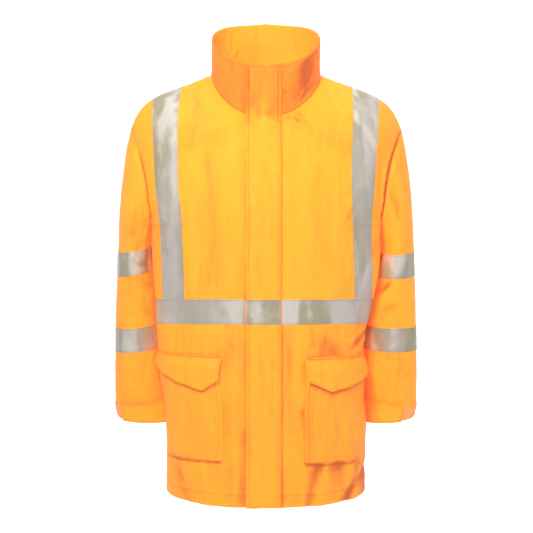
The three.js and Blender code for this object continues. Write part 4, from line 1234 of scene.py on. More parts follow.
class Workshop:
    """The finishes and threads, and how a piece is made and joins the frame."""

    def __init__(self) -> None:
        """Mix the finishes and thread the needles."""
        self.finishes = {finish: finish.value.material() for finish in Finish}
        self.threads = {kind: Stitching(self.finishes[kind]) for kind in (Finish.THREAD, Finish.TAPE_THREAD)}

    def make(self, node: str, how: Make, patch: Patch,
             lines: Sequence[np.ndarray] = (), seed: int = 1) -> None:
        """Make a piece with its stitches and hand it to the frame.

        Args:
            node: The CAD node that it stands for.
            how: How such a piece is made.
            patch: Its outside.
            lines: The rows of stitches, if any.
            seed: The seed of the stitches' small differences.
        """
        outside, lining = self.finishes[how.finish], self.finishes.get(how.lining)
        piece = shell(f"{node}_{how.suffix}", patch, outside, how.thickness, lining, how.rolled)
        extras = []
        if len(lines):
            extras.append(self.threads[how.thread].sew(f"{node}_{how.seams}", lines, how.pitch, seed))
        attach(piece, "root")
        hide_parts(node)
        for extra in extras:
            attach(extra, "root")
        width, length, area = CUTS.get(node) or CUTS[node.replace("_left", "").replace("_right", "")]
        report = "%s: %d faces, cut %.3f x %.3f m, area %.4f m2"
        LOG.info(report, piece.name, len(piece.data.polygons), *self.measure(patch))

    @staticmethod
    def measure(patch: Patch) -> tuple[float, float, float]:
        """Measure a patch laid flat.

        Args:
            patch: The grid.

        Returns:
            Its width, length and area, in metres.
        """
        points = np.concatenate([patch.points, patch.points[:1]]) if patch.closed else patch.points
        across, along = np.diff(points, axis=0)[:, :-1], np.diff(points, axis=1)[:-1]
        area = np.linalg.norm(np.cross(across, along), axis=-1).sum() * MM * MM
        width = np.linalg.norm(np.diff(points, axis=0), axis=-1).sum(axis=0).max() * MM
        return width, patch.v.max() * MM, area


def row_at(z: np.ndarray | float) -> np.ndarray | float:
    """Find the body row of a height under the armpits."""
    return (z - HEM_Z) / (ARMPIT_Z - HEM_Z)


@dataclass(frozen=True)
class Look:
    """What differs between the sides in the photograph: how hard seams pull, and how dark shades are."""

    pull: float
    panel_line: float
    sleeve_line: float
    low_front: float
    underarm: float
    pocket: float


# Per side: seam pull, then painted shade of armhole edge, sleeve armhole, low front, underarm, pocket
LOOKS = {Side.LEFT: Look(1.0, 7.0, 22.0, 2.2, 4.5, 1.0), Side.RIGHT: Look(0.6, 2.6, 9.0, 0.6, 3.5, 0.0)}


@dataclass
class Panel:
    """A front or a back of the jacket."""

    face: int
    side: Side
    hem: float = 25.0
    front_grid: tuple[int, int] = (118, 270)
    back_grid: tuple[int, int] = (84, 220)
    below_armpit: float = 0.62
    crowding: float = 1.12
    patch: Patch = field(init=False)

    def __post_init__(self) -> None:
        """Lay the panel's grid, crowded towards the middle, crease it and shade it."""
        columns, rows = self.front_grid if self.face < 0 else self.back_grid
        side = self.side.value
        low_rows, high_rows = int(rows * self.below_armpit), int(rows * (1 - self.below_armpit))
        lower, upper = spread(low_rows), spread(high_rows, 1, 2)[1:]
        self.patch = Patch(spread(columns) ** self.crowding, np.concatenate([lower, upper]),
                           lambda s, v: body_point(self.face, side, s, v), side if self.face < 0 else -side)
        x, _, z = np.moveaxis(self.patch.points, -1, 0)
        from_side = self.patch.u[-1:] - self.patch.u
        self.patch.raise_by(self.creases(x, z, from_side) + self.seam_relief(x, z, from_side))
        self.patch.cavity += self.shade(x, z, from_side)

    @property
    def node(self) -> str:
        """Name the CAD node."""
        return f"{'front' if self.face < 0 else 'back'}_{self.side.label}"

    def creases(self, x: np.ndarray, z: np.ndarray, from_side: np.ndarray) -> np.ndarray:
        """Find the creases between the panel's edges, where they fade out.

        Args:
            x: Places across.
            z: Heights.
            from_side: Millimetres to the side seam or the armhole.

        Returns:
            Millimetres out at each point.
        """
        side = self.side.value
        small = strew(PANEL_SCATTER, 40 + self.face + 3 * side, side)
        height = 1.5 * relief(FINE[self.face], x, z) + relief(small, x, z)
        height += 1.5 * ripple(x, z, 150, 1.3 + self.face) + 0.6 * ripple(x + 0.3 * z, z, 60, 2.1 - self.face)
        middle = grow(self.patch.u, 14)
        if self.face < 0:
            middle = np.maximum(middle, 0.15)
        return height * grow(from_side, 14) * grow(self.patch.v[:, -1:] - self.patch.v, 12) * middle

    def seam_relief(self, x: np.ndarray, z: np.ndarray, from_side: np.ndarray) -> np.ndarray:
        """Find the gathers and rolls at the armhole, side seam, hem and shoulder.

        Args:
            x: Places across.
            z: Heights.
            from_side: Millimetres to the side seam or the armhole.

        Returns:
            Millimetres out at each point.
        """
        above = (self.patch.rows > 1.0)[None, :]
        rise, from_top = self.patch.v, self.patch.v[:, -1:] - self.patch.v
        uneven = 1 + 0.3 * np.sin(z * 0.31) + 0.3 * np.sin(z * 0.12)
        bobble = 1 + 0.6 * np.sin(x * 0.21) + 0.5 * np.sin(x * 0.47 + 1)
        gathers = 2.4 * LOOKS[self.side].pull * near(from_side - 7, 6) * uneven * grow(CALM_Z - z, CALM_FADE)
        side_roll = 0.7 * near(from_side - 5, 4)
        hem_roll = 0.6 * near(rise - self.hem - 4, 4) * bobble - 0.5 * near(rise - self.hem, 1.8)
        edge_roll = 0.6 * near(rise - 4, 5) * bobble
        shoulder = 0.5 * near(from_top - 7, 5) * (1 + 0.5 * np.sin(x * 0.5))
        return gathers * above + side_roll * ~above + hem_roll + edge_roll + shoulder

    def shade(self, x: np.ndarray, z: np.ndarray, from_side: np.ndarray) -> np.ndarray:
        """Find the painted shade in seams and folds, under edges and over the lower front.

        Args:
            x: Places across.
            z: Heights.
            from_side: Millimetres to the side seam or the armhole.

        Returns:
            The shade, darker the more negative.
        """
        look, above = LOOKS[self.side], (self.patch.rows > 1.0)[None, :]
        dark = -look.panel_line * look.pull * near(from_side, 3) * above
        dark = dark - 1.3 * near(self.patch.v - self.hem, 1.6)
        if self.face < 0:
            dark = dark + relief(SHADES[self.side.value], x, z) - look.low_front * grow(-430 - z, 90)
        return dark

    def seams(self) -> list[np.ndarray]:
        """Find the rows of stitches at the hem, side, armhole and shoulder.

        Returns:
            Lines of points in millimetres.
        """
        lifted, width = self.patch.lifted, self.patch.u[-1].max()
        return [
            lifted(spread(120, 0.012, 0.985), row_at(HEM_Z + self.hem)),
            lifted(1 - 4.5 / width, spread(200, 0.02, 0.985)),
            lifted(1 - 5.5 / width, spread(120, 1.03, 1.97)),
            lifted(spread(60, 0.04, 0.96), 1.985),
        ]

    def dress(self, shop: Workshop) -> None:
        """Make the panel and its stitches."""
        shop.make(self.node, BODY_CLOTH, self.patch, self.seams(), 3)


@dataclass
class SleevePiece:
    """A sleeve from the armhole to the cuff."""

    side: Side
    columns: int = 124
    rows: int = 200
    patch: Patch = field(init=False)

    def __post_init__(self) -> None:
        """Lay the sleeve's grid, crease it and shade it."""
        side = self.side.value
        t, w = spread(self.columns)[:-1], spread(self.rows)
        self.patch = Patch(t, w, lambda a, b: sleeve_point(side, a, b), side, closed=True)
        t, w = np.broadcast_arrays(t[:, None], w[None, :])
        z = self.patch.points[..., 2]
        pull = LOOKS[self.side].pull * np.where(z < ARMPIT_Z + 12, 0.2, 1.0)
        self.patch.raise_by(self.creases(t, w) + self.seam_relief(t, z, pull))
        # Painted shade along the armhole seam and on the inner side under the arm
        armhole_line = LOOKS[self.side].sleeve_line * pull * near(self.patch.v, 5)
        underarm = LOOKS[self.side].underarm * grow(w - 0.25, 0.2) * near(t - 0.455, 0.05)
        self.patch.cavity -= armhole_line * np.clip((-100 - z) / 60, 0.2, 1) + underarm

    def creases(self, t: np.ndarray, w: np.ndarray) -> np.ndarray:
        """Find the creases, which fade out at the ends and where the sleeve touches the body.

        Args:
            t: Places round the sleeve.
            w: Places along it.

        Returns:
            Millimetres out at each point.
        """
        side, patch = self.side.value, self.patch
        x, y, z = np.moveaxis(patch.points, -1, 0)
        small = strew(SLEEVE_SCATTER, 70 + side, step=10)
        height = 1.5 * relief(FINE_SLEEVE[side], t, w) + relief(small, SLEEVE_ROUND * t, z)
        height += 1.2 * ripple(SLEEVE_ROUND * np.minimum(t, 1 - t), z, 110, 3.1 * side)
        height += 0.6 * ripple(y + x, z * 1.7, 50, 1.7)
        height *= grow(patch.v, 16) * grow(patch.v[:, -1:] - patch.v, 10)
        free = grow(np.abs(x) - np.abs(body_reach(y, z, side)) - 3, 8)
        return np.where(z < ARMPIT_Z, np.minimum(height, height * free), height)

    def seam_relief(self, t: np.ndarray, z: np.ndarray, pull: np.ndarray) -> np.ndarray:
        """Find the puffs at the armhole and the roll at the cuff's edge.

        Args:
            t: Places round the sleeve.
            z: Heights.
            pull: How hard the seam pulls.

        Returns:
            Millimetres out at each point.
        """
        rise, from_cuff = self.patch.v, self.patch.v[:, -1:] - self.patch.v
        puffs = 1.6 * near(rise - 15, 7) * (1 + 0.35 * np.sin(t * 75)) - 2.2 * near(rise - 3, 5)
        return puffs * pull * grow(CALM_Z - z, CALM_FADE) + 0.4 * near(from_cuff - 4, 4)

    def dress(self, shop: Workshop) -> None:
        """Make the sleeve, with stitches at the cuff and along the seam under the arm.

        Args:
            shop: The finishes and the frame.
        """
        length, along = self.patch.v[:, -1].mean(), spread(200, 0.03, 0.985)
        lines = [self.patch.lifted(spread(200), 1 - 5 / length), self.patch.lifted(0.5, along),
                 self.patch.lifted(0.515, along)]
        label = self.side.label
        shop.make(f"sleeve_{label}", BODY_CLOTH, self.patch, lines, 5)


@dataclass
class CollarPiece:
    """The stand-up collar, in two layers with a rolled edge."""

    columns: int = 280
    rows: int = 40
    # Degrees round the neck between which the left side gets painted shade as it turns from the light
    turn_start: float = 21.0
    turn_end: float = 86.0
    patch: Patch = field(init=False)

    def __post_init__(self) -> None:
        """Lay the collar's grid, crease it and shade it."""
        angle, h = spread(self.columns, ZIP_ANGLE, 360 - ZIP_ANGLE), spread(self.rows)
        self.patch = Patch(angle, h, collar_point, 1)
        angle, h = np.broadcast_arrays(angle[:, None], h[None, :])
        self.patch.raise_by(self.creases(angle, h))
        self.patch.cavity += self.shade(angle, h)

    def creases(self, angle: np.ndarray, h: np.ndarray) -> np.ndarray:
        """Find the creases, and the puckers along the neck seam.

        Args:
            angle: Degrees round the neck.
            h: From the neckline (0) to the top (1).

        Returns:
            Millimetres out at each point.
        """
        from_end, along, rise = np.minimum(angle, 360 - angle), angle * COLLAR_DEGREE, h * COLLAR_RISE
        small = strew(COLLAR_SCATTER, 31)
        height = 1.3 * relief(COLLAR_DENTS, angle, h, 360) + relief(small, along, rise)
        height += ripple(along, rise, 90, 4.2) + 0.5 * ripple(along + 60 * h, rise, 34, 0.7)
        height *= grow(h, 0.08) * grow(1 - h, 0.1) * grow(from_end, 6)
        puckers = near(self.patch.v - 5, 4) * (0.9 + 0.5 * np.sin(angle * 1.1) * np.sin(angle * 0.37 + 1))
        stitch_line = 0.35 * near(self.patch.v[:, -1:] - self.patch.v - 6, 1.2)
        return height + puckers * np.minimum(1, (from_end - ZIP_ANGLE) / 12) - stitch_line

    def shade(self, angle: np.ndarray, h: np.ndarray) -> np.ndarray:
        """Find the shade in the seams, beside the flap, and where the left side turns from the light.

        Args:
            angle: Degrees round the neck.
            h: From the neckline (0) to the top (1).

        Returns:
            The shade, darker the more negative.
        """
        from_end, along, rise = np.minimum(angle, 360 - angle), angle * COLLAR_DEGREE, h * COLLAR_RISE
        start = self.turn_start + 32 * grow(h - 0.78, 0.22) + 12 * grow(0.4 - h, 0.4)
        turned = grow(angle - start, 5) * grow(self.turn_end - angle, 22)
        turned = turned * grow(h - 0.08, 0.12) * grow(0.99 - h, 0.06)
        # Painted shade in the pleats beside the flap, in the seams, and where the left side turns from the
        # light
        pleats = relief(creases((52, 8, 90, 22, 2.2, -4), (30, 22, 44, 30, 4, -2)), along, rise)
        seams = 3 * near(self.patch.v, 2.5) + 1.2 * near(self.patch.v[:, -1:] - self.patch.v - 6, 1.5)
        return pleats - seams - 3.8 * turned - 0.9 * grow(30 - from_end, 8)

    def dress(self, shop: Workshop) -> None:
        """Make the collar, with stitches along its top and its foot.

        Args:
            shop: The finishes and the frame.
        """
        angle, rise = spread(400, ZIP_ANGLE + 2, 358 - ZIP_ANGLE), self.patch.v[:, -1].mean()
        lines = [self.patch.lifted(angle, 1 - 6 / rise), self.patch.lifted(angle, 4 / rise)]
        shop.make("collar", COLLAR_CLOTH, self.patch, lines, 7)


@dataclass
class Front:
    """The middle of the front, as one grid over the fronts and the collar's ends."""

    left: Patch
    right: Patch
    collar: Patch
    rows: int = 300
    neck: float = 0.9
    neck_blend: float = 0.024

    def at(self, x: np.ndarray, f: np.ndarray) -> tuple[np.ndarray, np.ndarray]:
        """Find points of the middle of the front.

        Args:
            x: Millimetres to the wearer's left.
            f: From the hem (0) by the neckline (0.9) to the collar top (1).

        Returns:
            The points and their normals.
        """
        x, f = np.broadcast_arrays(np.asarray(x, float), np.asarray(f, float))
        row = np.minimum(f / self.neck, 1) * (1 + FRONT_NECK_START)
        h = np.clip((f - self.neck) / (1 - self.neck), 0, 1)
        half = ZIP_WIDTH / 2
        points, normals = np.zeros(x.shape + (3,)), np.zeros(x.shape + (3,))
        high, inner = (f > self.neck)[..., None], (np.abs(x) < half)[..., None]
        up = grow(f - self.neck + self.neck_blend / 2, self.neck_blend)[..., None]
        turn = np.degrees(np.arcsin(np.clip(np.maximum(np.abs(x), half) / NECK_HALF_WIDTH, 0, 1)))
        for patch, own, angle in ((self.left, x > 0, turn), (self.right, x <= 0, 360 - turn)):
            s = patch.column_at_width(row, np.maximum(np.abs(x), half), 0.5)
            body, body_normal = patch.at(np.where(np.abs(x) <= half, 0.0, s), row)
            neck_point, neck_normal = self.collar.at(angle, h)
            point = np.where(high, neck_point, body)
            normal = body_normal * (1 - up) + neck_normal * up
            point = np.where(inner, np.stack([x, point[..., 1], point[..., 2]], -1), point)
            normal = np.where(inner, normal * np.array([0.0, 1, 1]), normal)
            points[own], normals[own] = point[own], normal[own]
        return points, normals / np.linalg.norm(normals, axis=-1, keepdims=True)

    def grid(self, xs: np.ndarray, lift: Callable[[np.ndarray, np.ndarray], np.ndarray], top: float) -> Patch:
        """Lay a piece over the front.

        Args:
            xs: Its columns, in millimetres to the wearer's left.
            lift: Millimetres over the cloth, from the column and the row.
            top: Its last row.

        Returns:
            The patch.
        """
        def point(x: np.ndarray, f: np.ndarray) -> np.ndarray:
            """Lift the front's points."""
            place, normal = self.at(x, f)
            return place + normal * lift(x, f)[..., None]

        return Patch(xs, spread(self.rows, 0, top), point, 1)


@dataclass
class Closure:
    """The storm flap, the zip under it and the tape across it."""

    front: Front
    free_edge: float = -39.0
    sewn_edge: float = 31.0
    first_stitch: float = 5.5
    second_stitch: float = 7.2
    flap_top: float = 0.994
    puckers: Sequence[Crease] = tuple(strew(STORM_SCATTER, 50))

    def lift(self, x: np.ndarray, f: np.ndarray) -> np.ndarray:
        """Find how far the flap stands off the front.

        Args:
            x: Millimetres to the wearer's left.
            f: Places from the hem to the collar top.

        Returns:
            Millimetres to the flap's outside.
        """
        x, f = np.broadcast_arrays(x, f)
        from_free, from_sewn = x - self.free_edge, self.sewn_edge - x
        wave = 0.6 * np.sin(f * 41) + 0.4 * np.sin(f * 97 + 1)
        base = STORM_CLOTH.thickness + 0.7 + (2.2 + wave) * near(from_free, 26)
        bite = 1 + 0.7 * np.sin(f * 420 + 3 * np.sin(f * 57)) * np.sin(f * 131)
        seam = (0.9 * near(from_sewn - 3.5, 1.7) + 0.4 * near(from_sewn - 11, 2.5)) * bite
        edge = (0.5 * near(from_free - 2.5, 1.6) + 0.45 * near(from_free - 9, 3)) * bite
        groove = 0.6 * near(from_free - self.first_stitch, 1.2)
        puckers = 0.9 * relief(self.puckers, x, f * JACKET_LENGTH + HEM_Z)
        return base + seam + edge - groove + puckers * grow(np.minimum(from_free, from_sewn), 6)

    def flap(self) -> Patch:
        """Lay the flap, with finer columns at its edges.

        Returns:
            Its grid.
        """
        xs = np.concatenate([self.free_edge + np.array([0, 0.5, 1.2, 2.2]),
                             spread(30, self.free_edge + 3.5, self.sewn_edge - 9),
                             spread(12, self.sewn_edge - 8.5, self.sewn_edge - 0.6)])
        flap = self.front.grid(xs, self.lift, self.flap_top)
        x, f = xs[:, None], flap.rows[None, :]
        # Painted shade along the stitch rows, by the free edge and over the flap's top, plus the puckers'
        # heights
        stitches = 2.0 * near(x - self.free_edge - self.first_stitch, 1.2)
        stitches = stitches + 2.2 * near(x - self.sewn_edge + self.second_stitch, 1.0)
        flap.cavity += relief(self.puckers, x, f * JACKET_LENGTH + HEM_Z) - stitches
        flap.cavity -= 1.8 * near(x - self.free_edge, 1.6) + 3.4 * grow(f - 0.885, 0.02)
        return flap

    def dress(self, shop: Workshop) -> None:
        """Make the flap, the tape across it and the zip.

        Args:
            shop: The finishes and the frame.
        """
        flap, f = self.flap(), spread(500, 0.006, 0.988)
        lines = [flap.lifted(self.free_edge + 5, f), flap.lifted(self.sewn_edge - 6.2, f),
                 flap.lifted(self.sewn_edge - 1.4, f),
                 flap.lifted(spread(60, self.free_edge + 2, self.sewn_edge - 2), 0.986)]
        shop.make("storm_flap", STORM_CLOTH, flap, lines, 11)

        low, high = self.band_rows()
        tape = Patch(spread(30, self.free_edge + 0.6, self.sewn_edge - 0.8), spread(16, low, high),
                     lambda x, r: flap.lifted(x, r, SILVER_TAPE.thickness + 0.25), 1)
        edge = 2.2 / TAPE_WIDTH * (high - low)
        across = spread(80, self.free_edge + 1, self.sewn_edge - 1)
        lines = [tape.lifted(across, row, TAPE_STITCH) for row in (low + edge, high - edge)]
        shop.make("tape_waist_flap", SILVER_TAPE, tape, lines, 12)

        strip = self.front.grid(spread(10, -ZIP_WIDTH / 2 + 0.2, ZIP_WIDTH / 2 - 0.2),
                                lambda x, r: 0.0 * (x + r) + 0.1, 0.996)
        teeth = [strip.lifted(x, spread(500, 0.01, 0.97), -1.2) for x in (-1.1, 1.1)]
        shop.make("front_zip", ZIP_STRIP, strip, teeth, 13)

    def band_rows(self) -> tuple[float, float]:
        """Find the lowest and the highest row of the tape across the flap."""
        scale = self.front.neck / (1 + FRONT_NECK_START)
        return row_at(WAIST_TAPE_TOP - TAPE_WIDTH) * scale, row_at(WAIST_TAPE_TOP) * scale


@dataclass
class Tapes:
    """Reflective tape on the body and the sleeves."""

    panels: dict[str, Panel]
    sleeves: dict[str, SleevePiece]
    lift: float = SILVER_TAPE.thickness + 0.3
    brace_lift: float = SILVER_TAPE.thickness + 0.45
    seam: float = 0.045

    @staticmethod
    def waist_row(f: np.ndarray | float, s: np.ndarray) -> np.ndarray:
        """Find the waist tape's rows, from its lower edge (0) to its upper edge (1) at places across."""
        return row_at(WAIST_TAPE_TOP - (1 - f) * TAPE_WIDTH - WAIST_TAPE_DROOP * s**2)

    def lay(self, shop: Workshop, node: str, base: str, patch: Patch, upright: bool = False) -> None:
        """Make one length of tape and its stitches.

        Args:
            shop: The finishes and the frame.
            node: The CAD node.
            base: The node that it is sewn to; not used.
            patch: The tape's grid.
            upright: Whether the long edges run along the grid's rows.
        """
        fine = spread(300, 0, 1 if patch.closed else 0.997)
        edges = (self.seam, 1 - self.seam)
        lines = [patch.lifted(edge, fine, TAPE_STITCH) if upright else patch.lifted(fine, edge, TAPE_STITCH)
                 for edge in edges]
        shop.make(node, SILVER_TAPE, patch, lines, len(node))

    def waist(self, panel: Panel) -> Patch:
        """Lay the waist tape across a panel, from the flap or the back's middle to the side seam.

        Args:
            panel: The panel.

        Returns:
            The tape's grid.
        """
        base, first, last = panel.patch, 0.0015, 0.997
        if panel.face < 0:
            edge = 32.6 if panel.side is Side.LEFT else 40.6
            first = float(base.column_at_width(row_at(WAIST_TAPE_TOP), edge, 0.5))

        def point(a: np.ndarray, b: np.ndarray) -> np.ndarray:
            """Find points of the tape, across (a) and up (b)."""
            s = first + (last - first) * a
            return base.lifted(s, self.waist_row(b, s), self.lift)

        return Patch(spread(96), spread(16), point, base.outward)

    def brace(self, panel: Panel) -> Patch:
        """Lay a brace from the waist tape to the shoulder.

        Args:
            panel: The panel.

        Returns:
            The tape's grid.
        """
        base, bottom = panel.patch, -460 if panel.face > 0 else -440
        table = BRACES[panel.face, panel.side.value]

        def point(a: np.ndarray, b: np.ndarray) -> np.ndarray:
            """Find points of the tape.

            Args:
                a: Places across, from 0 to 1.
                b: Places up, from 0 to 1.

            Returns:
                The points.
            """
            a, b = np.broadcast_arrays(a, b)
            s = np.full(a.shape, 0.5)
            for _ in range(4):
                low = self.waist_row(1.0, s) + 0.0006
                v = low + (1.997 - low) * b
                edges = table(np.clip(base.at(s, v)[0][..., 2], bottom, 10))
                s = base.column_at_width(v, edges[..., 0] + (edges[..., 1] - edges[..., 0]) * a)
            return base.lifted(s, v, self.brace_lift)

        return Patch(spread(18), spread(150), point, base.outward)

    def ring(self, sleeve: SleevePiece, middle: float, tilt: float) -> Patch:
        """Lay a ring round a sleeve.

        Args:
            sleeve: The sleeve.
            middle: The height of the tape's middle.
            tilt: How much lower it is on the outer line.

        Returns:
            The tape's grid.
        """
        base = sleeve.patch

        def point(a: np.ndarray, b: np.ndarray) -> np.ndarray:
            """Find points of the tape.

            Args:
                a: Places round the sleeve.
                b: From its upper edge (0) to its lower edge (1).

            Returns:
                The points.
            """
            a, b = np.broadcast_arrays(a, b)
            height = middle - tilt * np.cos(2 * np.pi * a) + (0.5 - b) * TAPE_WIDTH
            return base.lifted(a, base.row_at_height(a, height, 0.1, 0.95), self.lift)

        return Patch(base.columns, spread(16), point, base.outward, closed=True)

    def dress(self, shop: Workshop) -> None:
        """Make all the tape.

        Args:
            shop: The finishes and the frame.
        """
        for node, panel in self.panels.items():
            self.lay(shop, f"tape_waist_{node}", node, self.waist(panel))
            self.lay(shop, f"tape_brace_{node}", node, self.brace(panel), upright=True)
        rings = {Side.LEFT: (("upper", -377, -2), ("lower", -532, 1)),
                 Side.RIGHT: (("upper", -370, 6), ("lower", -532, 5))}
        for node, sleeve in self.sleeves.items():
            for level, middle, tilt in rings[sleeve.side]:
                ring = self.ring(sleeve, middle, tilt)
                self.lay(shop, f"tape_sleeve_{level}_{sleeve.side.label}", node, ring)


@dataclass
class Pocket:
    """A bellows pocket and its pointed flap."""

    panel: Panel
    inner: float
    flap_inner: float
    tip_x: float
    flap_top: float
    flap_low: tuple[float, float, float]
    bottom: float
    droop: float
    bag_side: float = 77.0 / SIDE_SEAM_ANGLE
    flap_side: float = 81.0 / SIDE_SEAM_ANGLE
    depth: float = 8.5
    mouth: float = 12.0

    def __post_init__(self) -> None:
        """Find the columns between which the pocket lies, and scatter its creases."""
        self.top = self.flap_top - self.mouth
        self.first = self.column(self.top, self.inner)
        self.flap_first = self.column(self.flap_top, self.flap_inner)
        self.tip = self.column(self.flap_low[1], self.tip_x)
        side = self.panel.side.value
        self.small = strew(BAG_SCATTER, 60 + side, side)
        self.small += creases((-159, -640, -144, -740, 9, -2.2), (-124, -630, -114, -740, 10, 1.8))

    def column(self, z: float, x: float) -> float:
        """Find the panel's column at a height and a distance from the middle."""
        return float(self.panel.patch.column_at_width(row_at(z), x, 0.9))

    def bulge(self, s: np.ndarray) -> np.ndarray:
        """Find the bag's depth, which thins out towards the side."""
        return self.depth * np.clip((self.bag_side - s) / 0.3, 0.08, 1)

    def bag_point(self, a: np.ndarray, b: np.ndarray) -> np.ndarray:
        """Find points of the bag.

        Args:
            a: From its inner edge (0) to the side (1).
            b: From its bottom (0) to its mouth (1).

        Returns:
            The points.
        """
        base, seed = self.panel.patch, self.panel.side.value
        a, b = np.broadcast_arrays(a, b)
        width, length = HALF_RING * (self.bag_side - self.first), self.top - self.bottom
        s = self.first + (self.bag_side - self.first) * a
        z = self.bottom + length * b - self.droop * s**2
        from_inner, from_outer, from_low = a * width, (1 - a) * width, b * length
        rim = np.minimum.reduce([1 - near(from_inner, 5), 1 - near(from_outer, 5), 1 - near(from_low, 3)])
        full = self.bulge(s) * (0.8 + 0.2 * np.sin(np.pi * np.clip(b * 1.2, 0, 1)))
        full = full * np.clip((1 - b) * length / 16, 0.12, 1)
        x = base.at(s, row_at(z))[0][..., 0]
        soft = 1.3 * ripple(x + 0.25 * z, z, 70, 0.4 + seed) + 0.6 * ripple(x - 0.6 * z, z, 34, 2.2)
        edge = np.interp(s, (self.first, self.tip, self.flap_side), self.flap_low) - self.droop * s**2
        soft = (soft + relief(self.small, x, z)) * np.clip((edge - z) / 20 + 0.1, 0.1, 1)
        stitches = 0.5 * near(from_inner - 9, 1.3) * (b < 0.98)
        out = base.lifted(s, row_at(z), 1.6 + rim * (full + soft) - stitches, calm=True)
        out[..., 2] -= 3.0 * near(from_low - 5, 4) * rim
        return out

    def flap_point(self, s: np.ndarray, b: np.ndarray) -> np.ndarray:
        """Find points of the flap.

        Args:
            s: Columns of the panel.
            b: From its lower edge (0) to its seam (1).

        Returns:
            The points.
        """
        s, b = np.broadcast_arrays(s, b)
        seed = self.panel.side.value
        low = np.interp(s, (self.flap_first, self.tip, self.flap_side), self.flap_low)
        length = self.flap_top - low
        inset = 0.014 * (1 - b) * np.clip((self.tip - s) / (self.tip - self.flap_first), 0, 1)
        z, down = low + length * b - self.droop * s**2, (1 - b) * length
        over = (self.bulge(s) + 3.2) * grow(down - 6, 18) + 2.0 * near(b * length, 9)
        ridge = 0.7 * near(down - 2, 1.6) - 0.8 * near(down - 5.5, 1.5) + 0.6 * near(down - 9, 2)
        soft = 0.8 * ripple(HALF_RING * s, z, 60, seed + 0.5) + 0.4 * ripple(HALF_RING * s, z, 22, seed + 1.5)
        lift = 2.0 + over + ridge + soft * grow(down, 14)
        return self.panel.patch.lifted(s + inset, row_at(z), lift, calm=True)

    def lay(self) -> tuple[Patch, Patch]:
        """Lay the bag and the flap, and paint shade on their edges and stitches and a shadow under the flap.

        Returns:
            Their grids.
        """
        outward, dim = self.panel.patch.outward, LOOKS[self.panel.side].pocket
        bag = Patch(eased(60), eased(68), self.bag_point, outward)
        columns = [spread(24, self.flap_first, self.tip), spread(38, self.tip, self.flap_side)[1:]]
        flap = Patch(np.concatenate(columns), eased(32), self.flap_point, outward)
        # Painted shade along the flap's and the bag's edges and stitches, darker on the left pocket
        down = flap.v[:, -1:] - flap.v
        flap.cavity -= 3.2 * near(down - 5.5, 1.6) + 2.5 * near(down, 1.2) + 2.0 * near(flap.v, 1.2)
        flap.cavity -= 0.6 * dim
        bag.cavity -= 3.0 * near(bag.v, 2.5) + 2.6 * near(bag.u - 9, 1.4) + 2.0 * near(bag.u, 1.2)
        bag.cavity -= (1.8 + 3 * near(bag.u[-1:] - bag.u, 18)) * dim
        # Painted shadow under the flap's lower edge, where the flap covers the bag
        x, z = flap.points[:, 0, 0], flap.points[:, 0, 2]
        order = np.argsort(x)
        gap = np.interp(bag.points[..., 0], x[order], z[order]) - bag.points[..., 2]
        covered = np.abs(bag.points[..., 0]) > np.abs(x).min() + 1
        bag.cavity -= (5 * near(np.maximum(gap - 1, 0), 3.5) + 1.5 * near(np.maximum(gap, 0), 14)) * covered
        return bag, flap

    def dress(self, shop: Workshop) -> None:
        """Make the bag, the flap and their stitches.

        Args:
            shop: The finishes and the frame.
        """
        label, base = self.panel.side.label, self.panel.node
        bag, flap = self.lay()
        lines = [bag.lifted(0.065, spread(120, 0.05, 0.99)), bag.lifted(spread(100, 0.06, 0.94), 0.05)]
        shop.make(f"pocket_{label}", BAG_CLOTH, bag, lines, 15)
        inset = 4 / HALF_RING
        first, last = flap.columns[0] + inset, flap.columns[-1] - inset
        lines = [flap.lifted(spread(110, first, last), row) for row in (0.985, 0.9, 0.06)]
        lines += [flap.lifted(column, spread(30, 0.07, 0.97)) for column in (first, last)]
        shop.make(f"pocket_flap_{label}", FLAP_CLOTH, flap, lines, 16)


